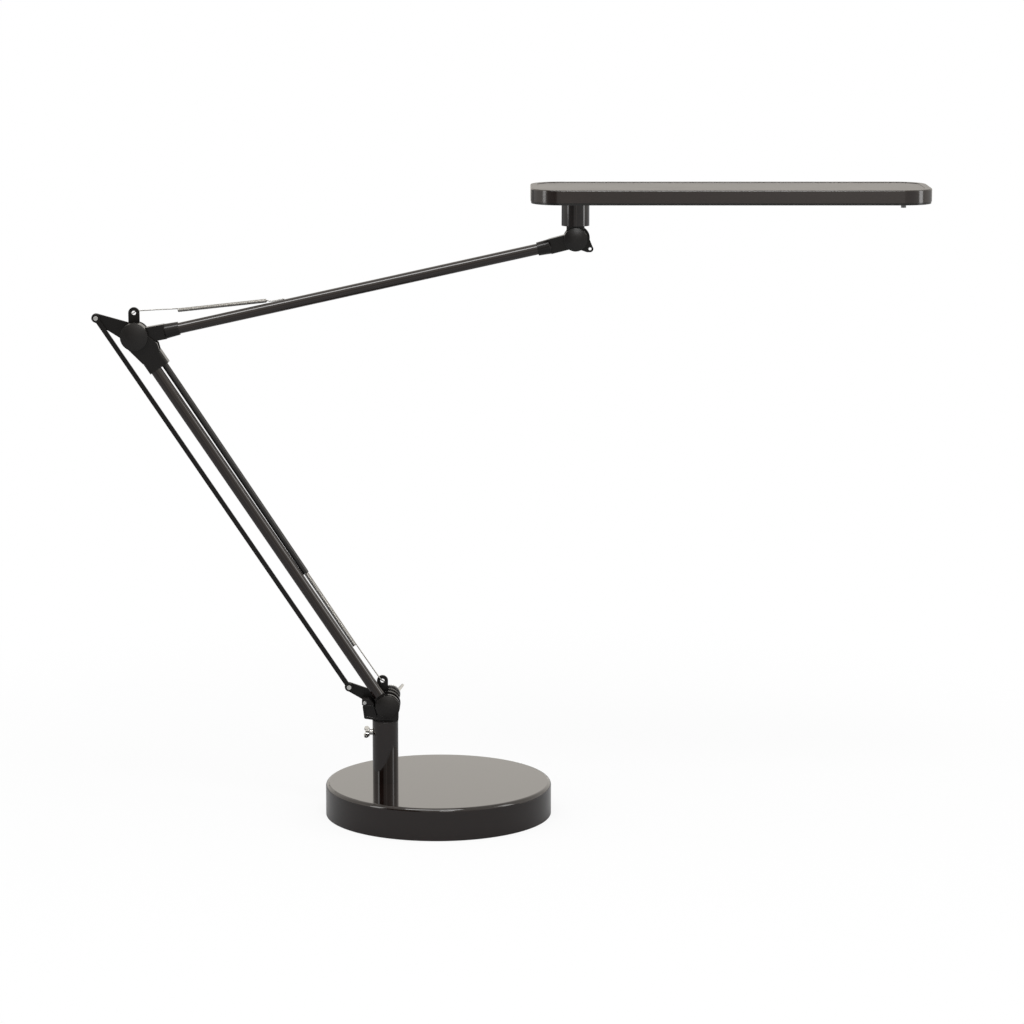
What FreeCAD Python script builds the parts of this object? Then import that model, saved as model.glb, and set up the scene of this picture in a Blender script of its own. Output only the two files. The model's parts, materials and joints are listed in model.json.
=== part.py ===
import FreeCAD, Part
import math
import os

import Sketcher

# A spring-balanced desk lamp with two single-tube arms and a flat LED head.
# Row frame in millimetres: +Z up, +X towards the head, origin at the centre of the base's underside.
# A plane that cuts the lamp along its arms is X-Z. The pivots turn about Y.

SIZES = {
    # base
    "base_diameter": 200,
    "base_height": 29,
    "base_edge_radius": 3.2,
    "base_wall": 1.2,
    "skirt_gap": 0.5,
    "pad_setback": 6,
    "pad_thickness": 2.5,
    "bottom_plate_thickness": 1,
    "bottom_plate_gap": 0.4,
    "weight_clearance": 8.8,
    "weight_thickness": 12,
    "weight_foot_radius": 7,
    "weight_foot_setback": 14,
    "plate_screw_radius": 2,
    "plate_screw_head_radius": 3.6,
    "plate_screw_head_height": 1.6,
    # post and its swivel
    "post_offset": -47,
    "post_diameter": 22.8,
    "post_wall": 1.5,
    "post_length": 55,
    "post_plug_length": 22,
    "post_bolt_radius": 4,
    "post_bolt_length": 30,
    "bolt_head_flats": 13,
    "bolt_head_height": 5.3,
    "washer_radius": 11,
    "washer_thickness": 1.6,
    "bushing_flange": 1,
    "bushing_length": 28,
    "spigot_radius": 6,
    "spigot_length": 30,
    "running_gap": 0.05,
    "body_gap": 0.3,
    "thumb_screw_drop": 10.5,
    "thumb_screw_radius": 2.5,
    "thumb_screw_roll": 20,
    "wing_thickness": 2,
    "wing_nut_radius": 9.6,
    "wing_pad_radius": 8.4,
    "wing_pad_offset": 7.2,
    "wing_pad_turn": 26,
    "wing_reach": 19,
    "spigot_groove_depth": 0.8,
    "spigot_groove_width": 7,
    # pivots and arms
    "base_pivot_offset": -44.6,
    "knuckle_height": 12.8,
    "lower_arm_length": 394.7,
    "lower_arm_angle": 123.55,
    "upper_arm_length": 392.2,
    "upper_arm_angle": 12.48,
    "lower_tube_radius": 5,
    "lower_tube_offset": 1.7,
    "upper_tube_radius": 4.8,
    "upper_tube_drop": 1.8,
    "arm_tube_wall": 0.8,
    "pivot_bolt_radius": 4,
    "pivot_head_radius": 6.5,
    "pivot_head_height": 2.6,
    "tongue_thickness": 8.4,
    "front_cheek_thickness": 3.5,
    "rear_cheek_thickness": 2.2,
    "cap_radius": 10.3,
    "cap_depth": 4.6,
    "cap_crown": 1.7,
    "base_foot_radius": 9.5,
    "base_cheek_radius": 10.9,
    "elbow_radius": 12,
    "elbow_throat": 22,
    "socket_length": 13,
    "fork_spring_side": 13.7,
    "fork_link_side": 5.5,
    "fork_shoulder": 16,
    "tongue_half_width": 6.7,
    "upper_socket_radius": 6.5,
    "upper_socket_mouth": 5.8,
    "head_tongue_radius": 7.4,
    "head_cheek_radius": 10.2,
    "washer_small_radius": 7.5,
    "washer_small_thickness": 1,
    "nut_flats": 13,
    "nut_height": 6.5,
    # anchor plates and the link bar
    "plate_thickness": 2,
    "base_ear_x": -5,
    "base_ear_z": 20.2,
    "elbow_ear_x": -1.4,
    "elbow_ear_z": 19.2,
    "ear_radius": 4.9,
    "ear_hole_radius": 1.9,
    "tip_x": -34.5,
    "tip_z": 14.7,
    "tip_radius": 4,
    "rivet_radius": 1.3,
    "rivet_head_radius": 2,
    "rivet_head_height": 1,
    "link_width": 4.1,
    "link_thickness": 1.8,
    "link_eye_radius": 3.8,
    # springs
    "spring_wire": 1,
    "lower_coil_radius": 1.5,
    "lower_coil_start": 72,
    "lower_coil_end": 142,
    "lower_coil_turns": 30,
    "spring_side_low": 5.6,
    "spring_side_high": 6.9,
    "spring_depth_offset": 3.7,
    "sleeve_radius": 2.8,
    "sleeve_wall": 0.35,
    "sleeve_start": 138,
    "upper_coil_radius": 1.4,
    "upper_coil_start": 42,
    "upper_coil_end": 126,
    "upper_coil_turns": 30,
    "upper_anchor": 134,
    # head
    "neck_width": 15.4,
    "swivel_pin_radius": 5,
    "collar_radius": 12.1,
    "collar_wall": 3.6,
    "collar_start": 11.4,
    "head_underside": 32.7,
    "head_length": 344.5,
    "head_width": 94,
    "head_thickness": 12.9,
    "head_back": 39,
    "head_corner": 26,
    "head_wall": 1.6,
    "head_edge": 1,
    "panel_inset": 6,
    "panel_depth": 0.5,
    "bezel_thickness": 1.8,
    "bezel_setback": 0.5,
    "bezel_border": 9,
    "control_end": 52,
    "diffuser_thickness": 2,
    "board_thickness": 1.2,
    "spreader_thickness": 1.5,
    "led_rows": 3,
    "led_columns": 16,
    "led_length": 3.5,
    "led_width": 2.8,
    "led_height": 0.7,
    "button_radius": 2.2,
    "button_reach": 3,
    "button_travel": 1.2,
    "button_setback": 25.5,
    "button_side": 14,
    "head_screw_radius": 1.5,
    "head_screw_head_radius": 2.6,
}

DOC = FreeCAD.newDocument("desk_lamp")
SHEET = DOC.addObject("Spreadsheet::Sheet", "sizes")
for row, (alias, amount) in enumerate(SIZES.items(), start=1):
    SHEET.set(f"A{row}", alias)
    SHEET.set(f"B{row}", str(amount))
    SHEET.setAlias(f"B{row}", alias)
DOC.recompute()

PIECES = []
V = FreeCAD.Vector


# ---- formulas: words in braces stand for cells of the sheet ----

def formula(text):
    """Writes {name} as a reference to the sheet's cell of that name."""
    return str(text).replace("{", "sizes.").replace("}", "")


def number(text):
    return float(SHEET.evalExpression(formula(text).replace("sizes.", "")))


def bind(item, **formulas):
    for name, text in formulas.items():
        item.setExpression(name.replace("__", "."), formula(text))


def keep(item, label):
    """Names a finished sub-part."""
    item.Label = label
    PIECES.append(item)
    return item


def place(item, at=("0", "0", "0"), turn="0", axis=(0, 1, 0)):
    """Puts a sub-part's own origin at a point, turned about an axis."""
    item.Placement = FreeCAD.Placement(V(), FreeCAD.Rotation(V(*axis), number(turn) or 0.001))
    bind(item, Placement__Base__x=at[0], Placement__Base__y=at[1], Placement__Base__z=at[2])
    bind(item, Placement__Rotation__Angle=turn)


POST_TOP = "({base_height} + {post_length})"
KNUCKLE_FOOT = f"({POST_TOP} + {{bushing_flange}} + {{body_gap}})"
THUMB_SCREW_HEIGHT = f"({POST_TOP} - {{thumb_screw_drop}})"
BASE_PIVOT = ("{base_pivot_offset}", "0", f"({KNUCKLE_FOOT} + {{knuckle_height}})")
ELBOW = (
    "({base_pivot_offset} + {lower_arm_length} * cos({lower_arm_angle}))",
    "0",
    f"({BASE_PIVOT[2]} + {{lower_arm_length}} * sin({{lower_arm_angle}}))",
)
HEAD_PIVOT = (
    f"({ELBOW[0]} + {{upper_arm_length}} * cos({{upper_arm_angle}}))",
    "0",
    f"({ELBOW[2]} + {{upper_arm_length}} * sin({{upper_arm_angle}}))",
)
HEAD_BOTTOM = (HEAD_PIVOT[0], "0", f"({HEAD_PIVOT[2]} + {{head_underside}})")
POST = ("{post_offset}", "0", "0")
LOWER_TURN = "(-{lower_arm_angle})"
UPPER_TURN = "(-{upper_arm_angle})"


def beside(pivot, angle, along, across):
    """A point beside a pivot, counted along and across an arm that leans at angle."""
    return (f"({pivot[0]} + ({along}) * cos({angle}) - ({across}) * sin({angle}))", "0",
            f"({pivot[2]} + ({along}) * sin({angle}) + ({across}) * cos({angle}))")


# The tubes don't run through the pivots but a little beside them, on the side away from the springs.
LOWER_SHIFT = "{lower_tube_offset}"
UPPER_SHIFT = "(-{upper_tube_drop})"
LOWER_START = beside(BASE_PIVOT, "{lower_arm_angle}", "0", LOWER_SHIFT)
LOWER_END = beside(ELBOW, "{lower_arm_angle}", "0", LOWER_SHIFT)
UPPER_START = beside(ELBOW, "{upper_arm_angle}", "0", UPPER_SHIFT)
UPPER_END = beside(HEAD_PIVOT, "{upper_arm_angle}", "0", UPPER_SHIFT)

# Layers through every pivot, along Y, from the front of the lamp to its back.
TONGUE = "({tongue_thickness} / 2)"
CHEEK = f"({TONGUE} + {{body_gap}})"
FRONT_FACE = f"({CHEEK} + {{front_cheek_thickness}})"
REAR_FACE = f"({CHEEK} + {{rear_cheek_thickness}})"
PLATE_FRONT = f"({REAR_FACE} + {{body_gap}})"
PLATE_BACK = f"({PLATE_FRONT} + {{plate_thickness}})"


# ---- sketches and features ----

def new_body(label):
    return keep(DOC.addObject("PartDesign::Body", label), label)


def sketch_on(body, role, offset="0"):
    """A sketch on one of the body's own planes, moved along that plane's normal."""
    sketch = body.newObject("Sketcher::SketchObject", f"{body.Label}_sketch")
    plane = next(item for item in body.Origin.OriginFeatures if item.Role == role)
    sketch.AttachmentSupport = [(plane, "")]
    sketch.MapMode = "FlatFace"
    bind(sketch, AttachmentOffset__Base__z=offset)
    return sketch


def fix_point(sketch, geometry, position, x, y):
    """Ties a sketch point to its formulas."""
    for kind, text in (("DistanceX", x), ("DistanceY", y)):
        if number(text) == 0 and str(text) == "0":
            axis = -2 if kind == "DistanceX" else -1
            sketch.addConstraint(Sketcher.Constraint("PointOnObject", geometry, position, axis))
            continue
        index = sketch.addConstraint(
            Sketcher.Constraint(kind, -1, 1, geometry, position, number(text)))
        bind(sketch, **{f"Constraints[{index}]": text})


def polygon(sketch, points):
    first = sketch.GeometryCount
    corners = [V(number(x), number(y), 0) for x, y in points]
    count = len(corners)
    for index in range(count):
        line = Part.LineSegment(corners[index], corners[(index + 1) % count])
        sketch.addGeometry(line, False)
    for index in range(count):
        following = first + (index + 1) % count
        sketch.addConstraint(Sketcher.Constraint("Coincident", first + index, 2, following, 1))
    for index, (x, y) in enumerate(points):
        fix_point(sketch, first + index, 1, x, y)


def circle(sketch, radius, x="0", y="0"):
    index = sketch.addGeometry(
        Part.Circle(V(number(x), number(y), 0), V(0, 0, 1), number(radius)), False)
    if str(x) == "0" and str(y) == "0":
        sketch.addConstraint(Sketcher.Constraint("Coincident", index, 3, -1, 1))
    else:
        fix_point(sketch, index, 3, x, y)
    datum = sketch.addConstraint(Sketcher.Constraint("Radius", index, number(radius)))
    bind(sketch, **{f"Constraints[{datum}]": radius})


def rounded_rectangle(sketch, low, high, radius):
    """A rectangle from corner low to corner high with four equal rounded corners."""
    x0, y0, x1, y1 = (number(text) for text in (*low, *high))
    r = number(radius)
    first = sketch.GeometryCount
    starts = [V(x0 + r, y0, 0), V(x1, y0 + r, 0), V(x1 - r, y1, 0), V(x0, y1 - r, 0)]
    ends = [V(x1 - r, y0, 0), V(x1, y1 - r, 0), V(x0 + r, y1, 0), V(x0, y0 + r, 0)]
    centres = [V(x1 - r, y0 + r, 0), V(x1 - r, y1 - r, 0), V(x0 + r, y1 - r, 0), V(x0 + r, y0 + r, 0)]
    for start, end in zip(starts, ends):
        sketch.addGeometry(Part.LineSegment(start, end), False)
    for index, centre in enumerate(centres):
        rim = Part.Circle(centre, V(0, 0, 1), r)
        begin = math.radians(90 * index - 90)
        sketch.addGeometry(Part.ArcOfCircle(rim, begin, begin + math.pi / 2), False)
    for index in range(4):
        line = first + index
        arc = first + 4 + index
        sketch.addConstraint(Sketcher.Constraint("Tangent", line, 2, arc, 1))
        sketch.addConstraint(Sketcher.Constraint("Tangent", arc, 2, first + (index + 1) % 4, 1))
        sketch.addConstraint(Sketcher.Constraint("Vertical" if index % 2 else "Horizontal", line))
        if index:
            sketch.addConstraint(Sketcher.Constraint("Equal", first + 4, arc))
    sides = (("DistanceY", 0, low[1]), ("DistanceX", 1, high[0]),
             ("DistanceY", 2, high[1]), ("DistanceX", 3, low[0]))
    for kind, line, text in sides:
        index = sketch.addConstraint(
            Sketcher.Constraint(kind, -1, 1, first + line, 1, number(text)))
        bind(sketch, **{f"Constraints[{index}]": text})
    datum = sketch.addConstraint(Sketcher.Constraint("Radius", first + 4, r))
    bind(sketch, **{f"Constraints[{datum}]": radius})


def pad(body, sketch, length):
    """Adds material from the sketch along its normal. The normal of X-Z is -Y."""
    feature = body.newObject("PartDesign::Pad", f"{body.Label}_pad")
    feature.Profile = sketch
    bind(feature, Length=length)
    DOC.recompute()
    return feature


def pocket(body, sketch, length):
    """Cuts against the sketch's normal and makes sure that something was cut."""
    before = body.Shape.Volume
    feature = body.newObject("PartDesign::Pocket", f"{body.Label}_pocket")
    feature.Profile = sketch
    bind(feature, Length=length)
    DOC.recompute()
    if body.Shape.Volume > before - 0.01:
        feature.Reversed = True
        DOC.recompute()
    if body.Shape.Volume > before - 0.01:
        raise RuntimeError(f"{body.Label}: a pocket cuts nothing")
    return feature


def revolve(body, sketch, axis="H_Axis"):
    feature = body.newObject("PartDesign::Revolution", f"{body.Label}_revolution")
    feature.Profile = sketch
    feature.ReferenceAxis = (sketch, [axis])
    feature.Angle = 360
    DOC.recompute()
    return feature


def round_edges(body, radius, choose):
    """Rounds the edges of the body that a test picks."""
    tip = body.Tip
    names = [f"Edge{index}" for index, edge in enumerate(tip.Shape.Edges, start=1) if choose(edge)]
    feature = body.newObject("PartDesign::Fillet", f"{body.Label}_fillet")
    feature.Base = (tip, names)
    bind(feature, Radius=radius)
    DOC.recompute()
    return feature


def is_round(edge, radius, tolerance=0.01):
    curve = edge.Curve
    return hasattr(curve, "Radius") and abs(curve.Radius - radius) < tolerance


def runs_along(edge, direction):
    if not isinstance(edge.Curve, Part.Line):
        return False
    start = edge.Vertexes[0].Point
    end = edge.Vertexes[-1].Point
    return (end - start).normalize().cross(direction).Length < 1e-6


def layer(body, draw, low, high):
    """Pads what draw puts on an X-Z sketch, from y = low to y = high."""
    sketch = sketch_on(body, "XZ_Plane", f"-({high})")
    draw(sketch)
    return pad(body, sketch, f"({high}) - ({low})")


def cut_layer(body, draw, low, high):
    """Cuts what draw puts on an X-Z sketch, from y = low to y = high."""
    sketch = sketch_on(body, "XZ_Plane", f"-({low})")
    draw(sketch)
    return pocket(body, sketch, f"({high}) - ({low})")


def slab(body, draw, low, high):
    """Pads what draw puts on an X-Y sketch, from z = low to z = high."""
    sketch = sketch_on(body, "XY_Plane", low)
    draw(sketch)
    return pad(body, sketch, f"({high}) - ({low})")


def cut_slab(body, draw, low, high):
    """Cuts what draw puts on an X-Y sketch, from z = low to z = high."""
    sketch = sketch_on(body, "XY_Plane", high)
    draw(sketch)
    return pocket(body, sketch, f"({high}) - ({low})")


# ---- plain turned pieces ----

def cylinder(radius, low, high, axis="z", x="0", y="0", z="0"):
    """A cylinder along one axis between two positions on it."""
    item = DOC.addObject("Part::Cylinder", "cylinder")
    bind(item, Radius=radius, Height=f"({high}) - ({low})")
    turns = {"z": FreeCAD.Rotation(), "x": FreeCAD.Rotation(V(0, 1, 0), 90),
             "y": FreeCAD.Rotation(V(1, 0, 0), -90)}
    item.Placement = FreeCAD.Placement(V(), turns[axis])
    start = {"x": x, "y": y, "z": z}
    start[axis] = low
    bind(item, Placement__Base__x=start["x"], Placement__Base__y=start["y"],
         Placement__Base__z=start["z"])
    return item


def hexagon(flats, low, high, axis="y"):
    """A six-sided prism along Y or Z."""
    item = DOC.addObject("Part::Prism", "hexagon")
    item.Polygon = 6
    bind(item, Circumradius=f"({flats}) / sqrt(3)", Height=f"({high}) - ({low})")
    turn = FreeCAD.Rotation(V(1, 0, 0), -90) if axis == "y" else FreeCAD.Rotation()
    item.Placement = FreeCAD.Placement(V(), turn)
    bind(item, **{f"Placement__Base__{axis}": low})
    return item


def fuse(*items):
    joined = DOC.addObject("Part::MultiFuse", "fusion")
    joined.Shapes = list(items)
    joined.Refine = True
    return joined


def cut(item, *tools):
    tool = tools[0] if len(tools) == 1 else fuse(*tools)
    result = DOC.addObject("Part::Cut", "cut")
    result.Base = item
    result.Tool = tool
    return result


def group(*items):
    """Several separate solids in one sub-part."""
    compound = DOC.addObject("Part::Compound", "group")
    compound.Links = list(items)
    return compound


# ---- base ----

WEIGHT_TOP = "({base_height} - {base_wall})"
WEIGHT_BOTTOM = f"({WEIGHT_TOP} - {{weight_thickness}})"
PLATE_TOP = "({pad_thickness} + {bottom_plate_thickness})"
WEIGHT_RADIUS = "({base_diameter} / 2 - {base_wall} - {weight_clearance})"
FOOT_CIRCLE = f"({WEIGHT_RADIUS} - {{weight_foot_setback}})"
SCREW_SPOTS = [(f"{FOOT_CIRCLE} * cos({angle})", f"{FOOT_CIRCLE} * sin({angle})")
               for angle in (0, 120, 240)]


def make_foot_pad():
    """Foam pad that the lamp stands on, with pockets for the screw heads."""
    body = new_body("foot_pad")
    slab(body, lambda sketch: circle(sketch, "{base_diameter} / 2 - {pad_setback}"),
         "0", "{pad_thickness}")
    for x, y in SCREW_SPOTS:
        cut_slab(body, lambda sketch: circle(sketch, "{plate_screw_head_radius} + {body_gap}", x, y),
                 "{pad_thickness} - {plate_screw_head_height}", "{pad_thickness}")


def make_bottom_plate():
    """Sheet disc that closes the base from below."""
    body = new_body("bottom_plate")
    rim = "{base_diameter} / 2 - {base_wall} - {bottom_plate_gap}"
    slab(body, lambda sketch: circle(sketch, rim), "{pad_thickness}", PLATE_TOP)
    for x, y in SCREW_SPOTS:
        cut_slab(body, lambda sketch: circle(sketch, "{plate_screw_radius} + {running_gap}", x, y),
                 "{pad_thickness}", PLATE_TOP)


def make_base_weight():
    """Iron casting under the cover, on three feet that take the plate screws."""
    body = new_body("base_weight")
    slab(body, lambda sketch: circle(sketch, WEIGHT_RADIUS), WEIGHT_BOTTOM, WEIGHT_TOP)
    for x, y in SCREW_SPOTS:
        slab(body, lambda sketch: circle(sketch, "{weight_foot_radius}", x, y),
             PLATE_TOP, WEIGHT_BOTTOM)
    for x, y in SCREW_SPOTS:
        cut_slab(body, lambda sketch: circle(sketch, "{plate_screw_radius} + {running_gap}", x, y),
                 PLATE_TOP, f"{WEIGHT_BOTTOM} + 2")
    bolt_hole = "{post_bolt_radius} + {running_gap}"
    cut_slab(body, lambda sketch: circle(sketch, bolt_hole, "{post_offset}"),
             WEIGHT_BOTTOM, WEIGHT_TOP)


def make_base_shell():
    """Spun sheet cover with a soft outer edge, open below."""
    body = new_body("base_shell")
    slab(body, lambda sketch: circle(sketch, "{base_diameter} / 2"), "{skirt_gap}", "{base_height}")
    rim = number("{base_diameter} / 2")
    top = number("{base_height}")
    round_edges(body, "{base_edge_radius}",
                lambda edge: is_round(edge, rim) and abs(edge.BoundBox.ZMax - top) < 0.01)
    cut_slab(body, lambda sketch: circle(sketch, "{base_diameter} / 2 - {base_wall}"),
             "{skirt_gap}", WEIGHT_TOP)
    cut_slab(body, lambda sketch: circle(sketch, "{post_bolt_radius} + {running_gap}", "{post_offset}"),
             WEIGHT_TOP, "{base_height}")


def make_plate_screws():
    screws = []
    for x, y in SCREW_SPOTS:
        head = cylinder("{plate_screw_head_radius}", "{pad_thickness} - {plate_screw_head_height}",
                        "{pad_thickness}", x=x, y=y)
        shank = cylinder("{plate_screw_radius}", "{pad_thickness}", f"{WEIGHT_BOTTOM} + 1", x=x, y=y)
        screws.append(fuse(head, shank))
    keep(group(*screws), "base_plate_screws")


def make_post():
    """Tube that stands on the cover, with the plug that its bolt pulls on and a bushing on top."""
    post_bottom = "{base_height}"
    post_top = POST_TOP
    outer = "{post_diameter} / 2"
    inner = "({post_diameter} / 2 - {post_wall})"
    bolt_fit = "{post_bolt_radius} + {running_gap}"

    tube = cut(cylinder(outer, post_bottom, post_top),
               cylinder(inner, post_bottom, post_top),
               cylinder("{thumb_screw_radius} + {running_gap}", f"-{outer} - 1", "0", axis="x",
                        z=THUMB_SCREW_HEIGHT))
    place(keep(tube, "post_tube"), POST)

    plug = cut(cylinder(inner, post_bottom, "{base_height} + {post_plug_length}"),
               cylinder(bolt_fit, post_bottom, "{base_height} + {post_plug_length}"))
    place(keep(plug, "post_plug"), POST)

    washer_bottom = f"({WEIGHT_BOTTOM} - {{washer_thickness}})"
    washer = cut(cylinder("{washer_radius}", washer_bottom, WEIGHT_BOTTOM),
                 cylinder(bolt_fit, washer_bottom, WEIGHT_BOTTOM))
    place(keep(washer, "post_washer"), POST)

    bolt = fuse(hexagon("{bolt_head_flats}", f"{washer_bottom} - {{bolt_head_height}}",
                        washer_bottom, axis="z"),
                cylinder("{post_bolt_radius}", washer_bottom, f"{washer_bottom} + {{post_bolt_length}}"))
    place(keep(bolt, "post_bolt"), POST)

    sleeve_bottom = f"({post_top} - {{bushing_length}})"
    bushing = cut(fuse(cylinder(inner, sleeve_bottom, post_top),
                       cylinder(outer, post_top, f"{post_top} + {{bushing_flange}}")),
                  cylinder("{spigot_radius} + {running_gap}", sleeve_bottom,
                           f"{post_top} + {{bushing_flange}}"),
                  cylinder("{thumb_screw_radius} + {body_gap}", f"-{outer}", "0", axis="x",
                           z=THUMB_SCREW_HEIGHT))
    place(keep(bushing, "post_bushing"), POST)


def make_thumb_screw():
    """Wing screw that clamps the swivel. Its own axis is +X here and points out of the post at -X."""
    body = new_body("thumb_screw")
    post_face = "{post_diameter} / 2"
    tip = "({spigot_radius} - {spigot_groove_depth} + {body_gap})"
    profile = sketch_on(body, "XZ_Plane")
    hub = f"({post_face} + 2.6)"
    polygon(profile, [(tip, "0"), (tip, "{thumb_screw_radius}"),
                      (hub, "{thumb_screw_radius}"), (hub, "{thumb_screw_radius} + 1.4"),
                      (f"{hub} + 3.6", "{thumb_screw_radius} + 0.6"), (f"{hub} + 3.6", "0")])
    revolve(body, profile)
    half = "({wing_thickness} / 2)"
    for side in (1, -1):
        root = f"{side * 2}"
        layer(body, lambda sketch: polygon(sketch, [
            (f"{hub} + 0.4", root), (f"{hub} + 3.2", root),
            (f"{hub} + 4.9", f"{side * 4.9}"), (f"{hub} + 4.4", f"{side * 7.6}"),
            (f"{hub} + 2.2", f"{side * 8.2}"), (f"{hub} + 0.6", f"{side * 6.4}")]),
            f"-{half}", half)
    round_edges(body, "0.45", lambda edge: runs_along(edge, V(0, 1, 0)) and abs(edge.BoundBox.ZMax) > 3)
    body.Placement = FreeCAD.Placement(V(), FreeCAD.Rotation(V(0, 0, 1), 180) * FreeCAD.Rotation(
        V(1, 0, 0), 90 - number("{thumb_screw_roll}")))
    bind(body, Placement__Base__x="{post_offset}", Placement__Base__z=THUMB_SCREW_HEIGHT)


# ---- swivel and base knuckle ----

def anchor_outline(body, joint_radius, ear_x, ear_z):
    """Stamped plate behind a joint: a disc, an ear for the spring and a long tip for the link bar."""
    ear = "{ear_radius}"
    low, high = PLATE_FRONT, PLATE_BACK
    layer(body, lambda sketch: circle(sketch, joint_radius), low, high)
    layer(body, lambda sketch: circle(sketch, ear, ear_x, ear_z), low, high)
    layer(body, lambda sketch: polygon(sketch, [
        (f"{ear_x} - {ear}", ear_z), (f"{ear_x} - {ear}", "0"),
        (f"{ear_x} + {ear}", "0"), (f"{ear_x} + {ear}", ear_z)]), low, high)
    layer(body, lambda sketch: circle(sketch, "{tip_radius}", "{tip_x}", "{tip_z}"), low, high)
    layer(body, lambda sketch: polygon(sketch, [
        ("{tip_x} + {tip_radius} * 0.33", "{tip_z} + {tip_radius} * 0.944"),
        (ear_x, f"{joint_radius} * 0.8"), (ear_x, f"-{joint_radius} * 0.6"),
        (f"-{joint_radius} * 0.95", f"-{joint_radius} * 0.36"),
        ("{tip_x} - {tip_radius} * 0.68", "{tip_z} - {tip_radius} * 0.733")]), low, high)


def make_anchor_plate(label, pivot, joint_radius, ear):
    body = new_body(label)
    anchor_outline(body, joint_radius, *ear)
    holes = (("{ear_hole_radius}", *ear),
             ("{rivet_radius} + {running_gap}", "{tip_x}", "{tip_z}"),
             ("{pivot_bolt_radius} + {running_gap}", "0", "0"))
    for radius, x, z in holes:
        cut_layer(body, lambda sketch: circle(sketch, radius, x, z), PLATE_FRONT, PLATE_BACK)
    place(body, pivot)


def make_cap(label, pivot, radius):
    """Round cover over the head of a pivot bolt, domed in front and hollow behind."""
    back = f"(-{FRONT_FACE} - {{body_gap}})"
    front = f"({back} - {{cap_depth}})"
    bulge = f"(({radius} ^ 2 + {{cap_crown}} ^ 2) / (2 * {{cap_crown}}))"
    ball = DOC.addObject("Part::Sphere", "ball")
    bind(ball, Radius=bulge, Placement__Base__y=f"{front} + {bulge}")
    dome = DOC.addObject("Part::MultiCommon", "dome")
    dome.Shapes = [cylinder(radius, front, back, axis="y"), ball]
    hollow = cylinder("{pivot_head_radius}", f"{back} - {{pivot_head_height}}", back, axis="y")
    place(keep(cut(dome, hollow), label), pivot)


def make_pivot_bolt(label, pivot, back):
    """Round-headed bolt through a joint, from its cap to behind its nut."""
    face = f"(-{FRONT_FACE} - {{body_gap}})"
    bolt = fuse(cylinder("{pivot_head_radius}", f"{face} - {{pivot_head_height}}", face, axis="y"),
                cylinder("{pivot_bolt_radius}", face, back, axis="y"))
    place(keep(bolt, label), pivot)


def make_ring(label, pivot, outer, inner, low, high):
    ring = cut(cylinder(outer, low, high, axis="y"), cylinder(inner, low, high, axis="y"))
    place(keep(ring, label), pivot)


def make_link_rivet(label, pivot):
    """Rivet through an anchor plate's tip and an eye of the link bar."""
    front = f"({PLATE_FRONT} - {{body_gap}} - {{link_thickness}} - 0.2)"
    shank = cylinder("{rivet_radius}", front, f"{PLATE_BACK} + 0.3", axis="y")
    front_head = cylinder("{rivet_head_radius}", f"{front} - {{rivet_head_height}}", front, axis="y")
    back_head = cylinder("{rivet_head_radius}", PLATE_BACK, f"{PLATE_BACK} + {{rivet_head_height}}",
                         axis="y")
    spot = (f"{pivot[0]} + {{tip_x}}", "0", f"{pivot[2]} + {{tip_z}}")
    place(keep(fuse(shank, front_head, back_head), label), spot)


BASE_EAR = ("{base_ear_x}", "{base_ear_z}")
ELBOW_EAR = ("{elbow_ear_x}", "{elbow_ear_z}")
NECK_TOP = "(-{base_foot_radius} - {body_gap} - 0.1)"
KNUCKLE_BOTTOM = "(-{knuckle_height})"
BLOCK_X = "(-{base_cheek_radius} - 11.5)"
STOP_X = "(-{base_cheek_radius} - 1.6)"
STOP_Z = "1"


def make_base_knuckle():
    """Fork that carries the lower arm, with the bracket of its back stop."""
    body = new_body("base_knuckle")
    half = "({base_cheek_radius} - 1.6)"
    layer(body, lambda sketch: polygon(sketch, [
        (BLOCK_X, STOP_Z), (f"{BLOCK_X} + 1.6", f"{KNUCKLE_BOTTOM} + 1.7"),
        (f"-{half} + 0.5", KNUCKLE_BOTTOM), (half, KNUCKLE_BOTTOM), (half, NECK_TOP),
        (f"-{half}", NECK_TOP), (STOP_X, STOP_Z)]), f"-{CHEEK} - 2.2", REAR_FACE)
    left = number(f"{BLOCK_X} + 2")
    round_edges(body, "1.4", lambda edge: runs_along(edge, V(0, 1, 0)) and edge.CenterOfMass.x < left)
    cut_layer(body, lambda sketch: polygon(sketch, [
        (f"{BLOCK_X} + 1.9", f"{STOP_Z} - 1.8"), (f"{BLOCK_X} + 3", f"{KNUCKLE_BOTTOM} + 3.4"),
        (f"{STOP_X} + 0.9", f"{KNUCKLE_BOTTOM} + 2"), (f"{STOP_X} - 0.6", f"{STOP_Z} - 1.8")]),
        f"-{CHEEK} - 2.2", f"-{CHEEK} - 1")
    for low, high in ((f"-{FRONT_FACE}", f"-{CHEEK}"), (CHEEK, REAR_FACE)):
        layer(body, lambda sketch: circle(sketch, "{base_cheek_radius}"), low, high)
        layer(body, lambda sketch: polygon(sketch, [
            (f"-{half}", KNUCKLE_BOTTOM), (half, KNUCKLE_BOTTOM), (half, "0"), (f"-{half}", "0")]),
            low, high)
    cut_layer(body, lambda sketch: circle(sketch, "{base_foot_radius} + {body_gap}"),
              f"-{CHEEK}", CHEEK)
    cut_layer(body, lambda sketch: circle(sketch, "{pivot_bolt_radius} + {running_gap}"),
              f"-{FRONT_FACE}", REAR_FACE)
    place(body, BASE_PIVOT)


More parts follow.
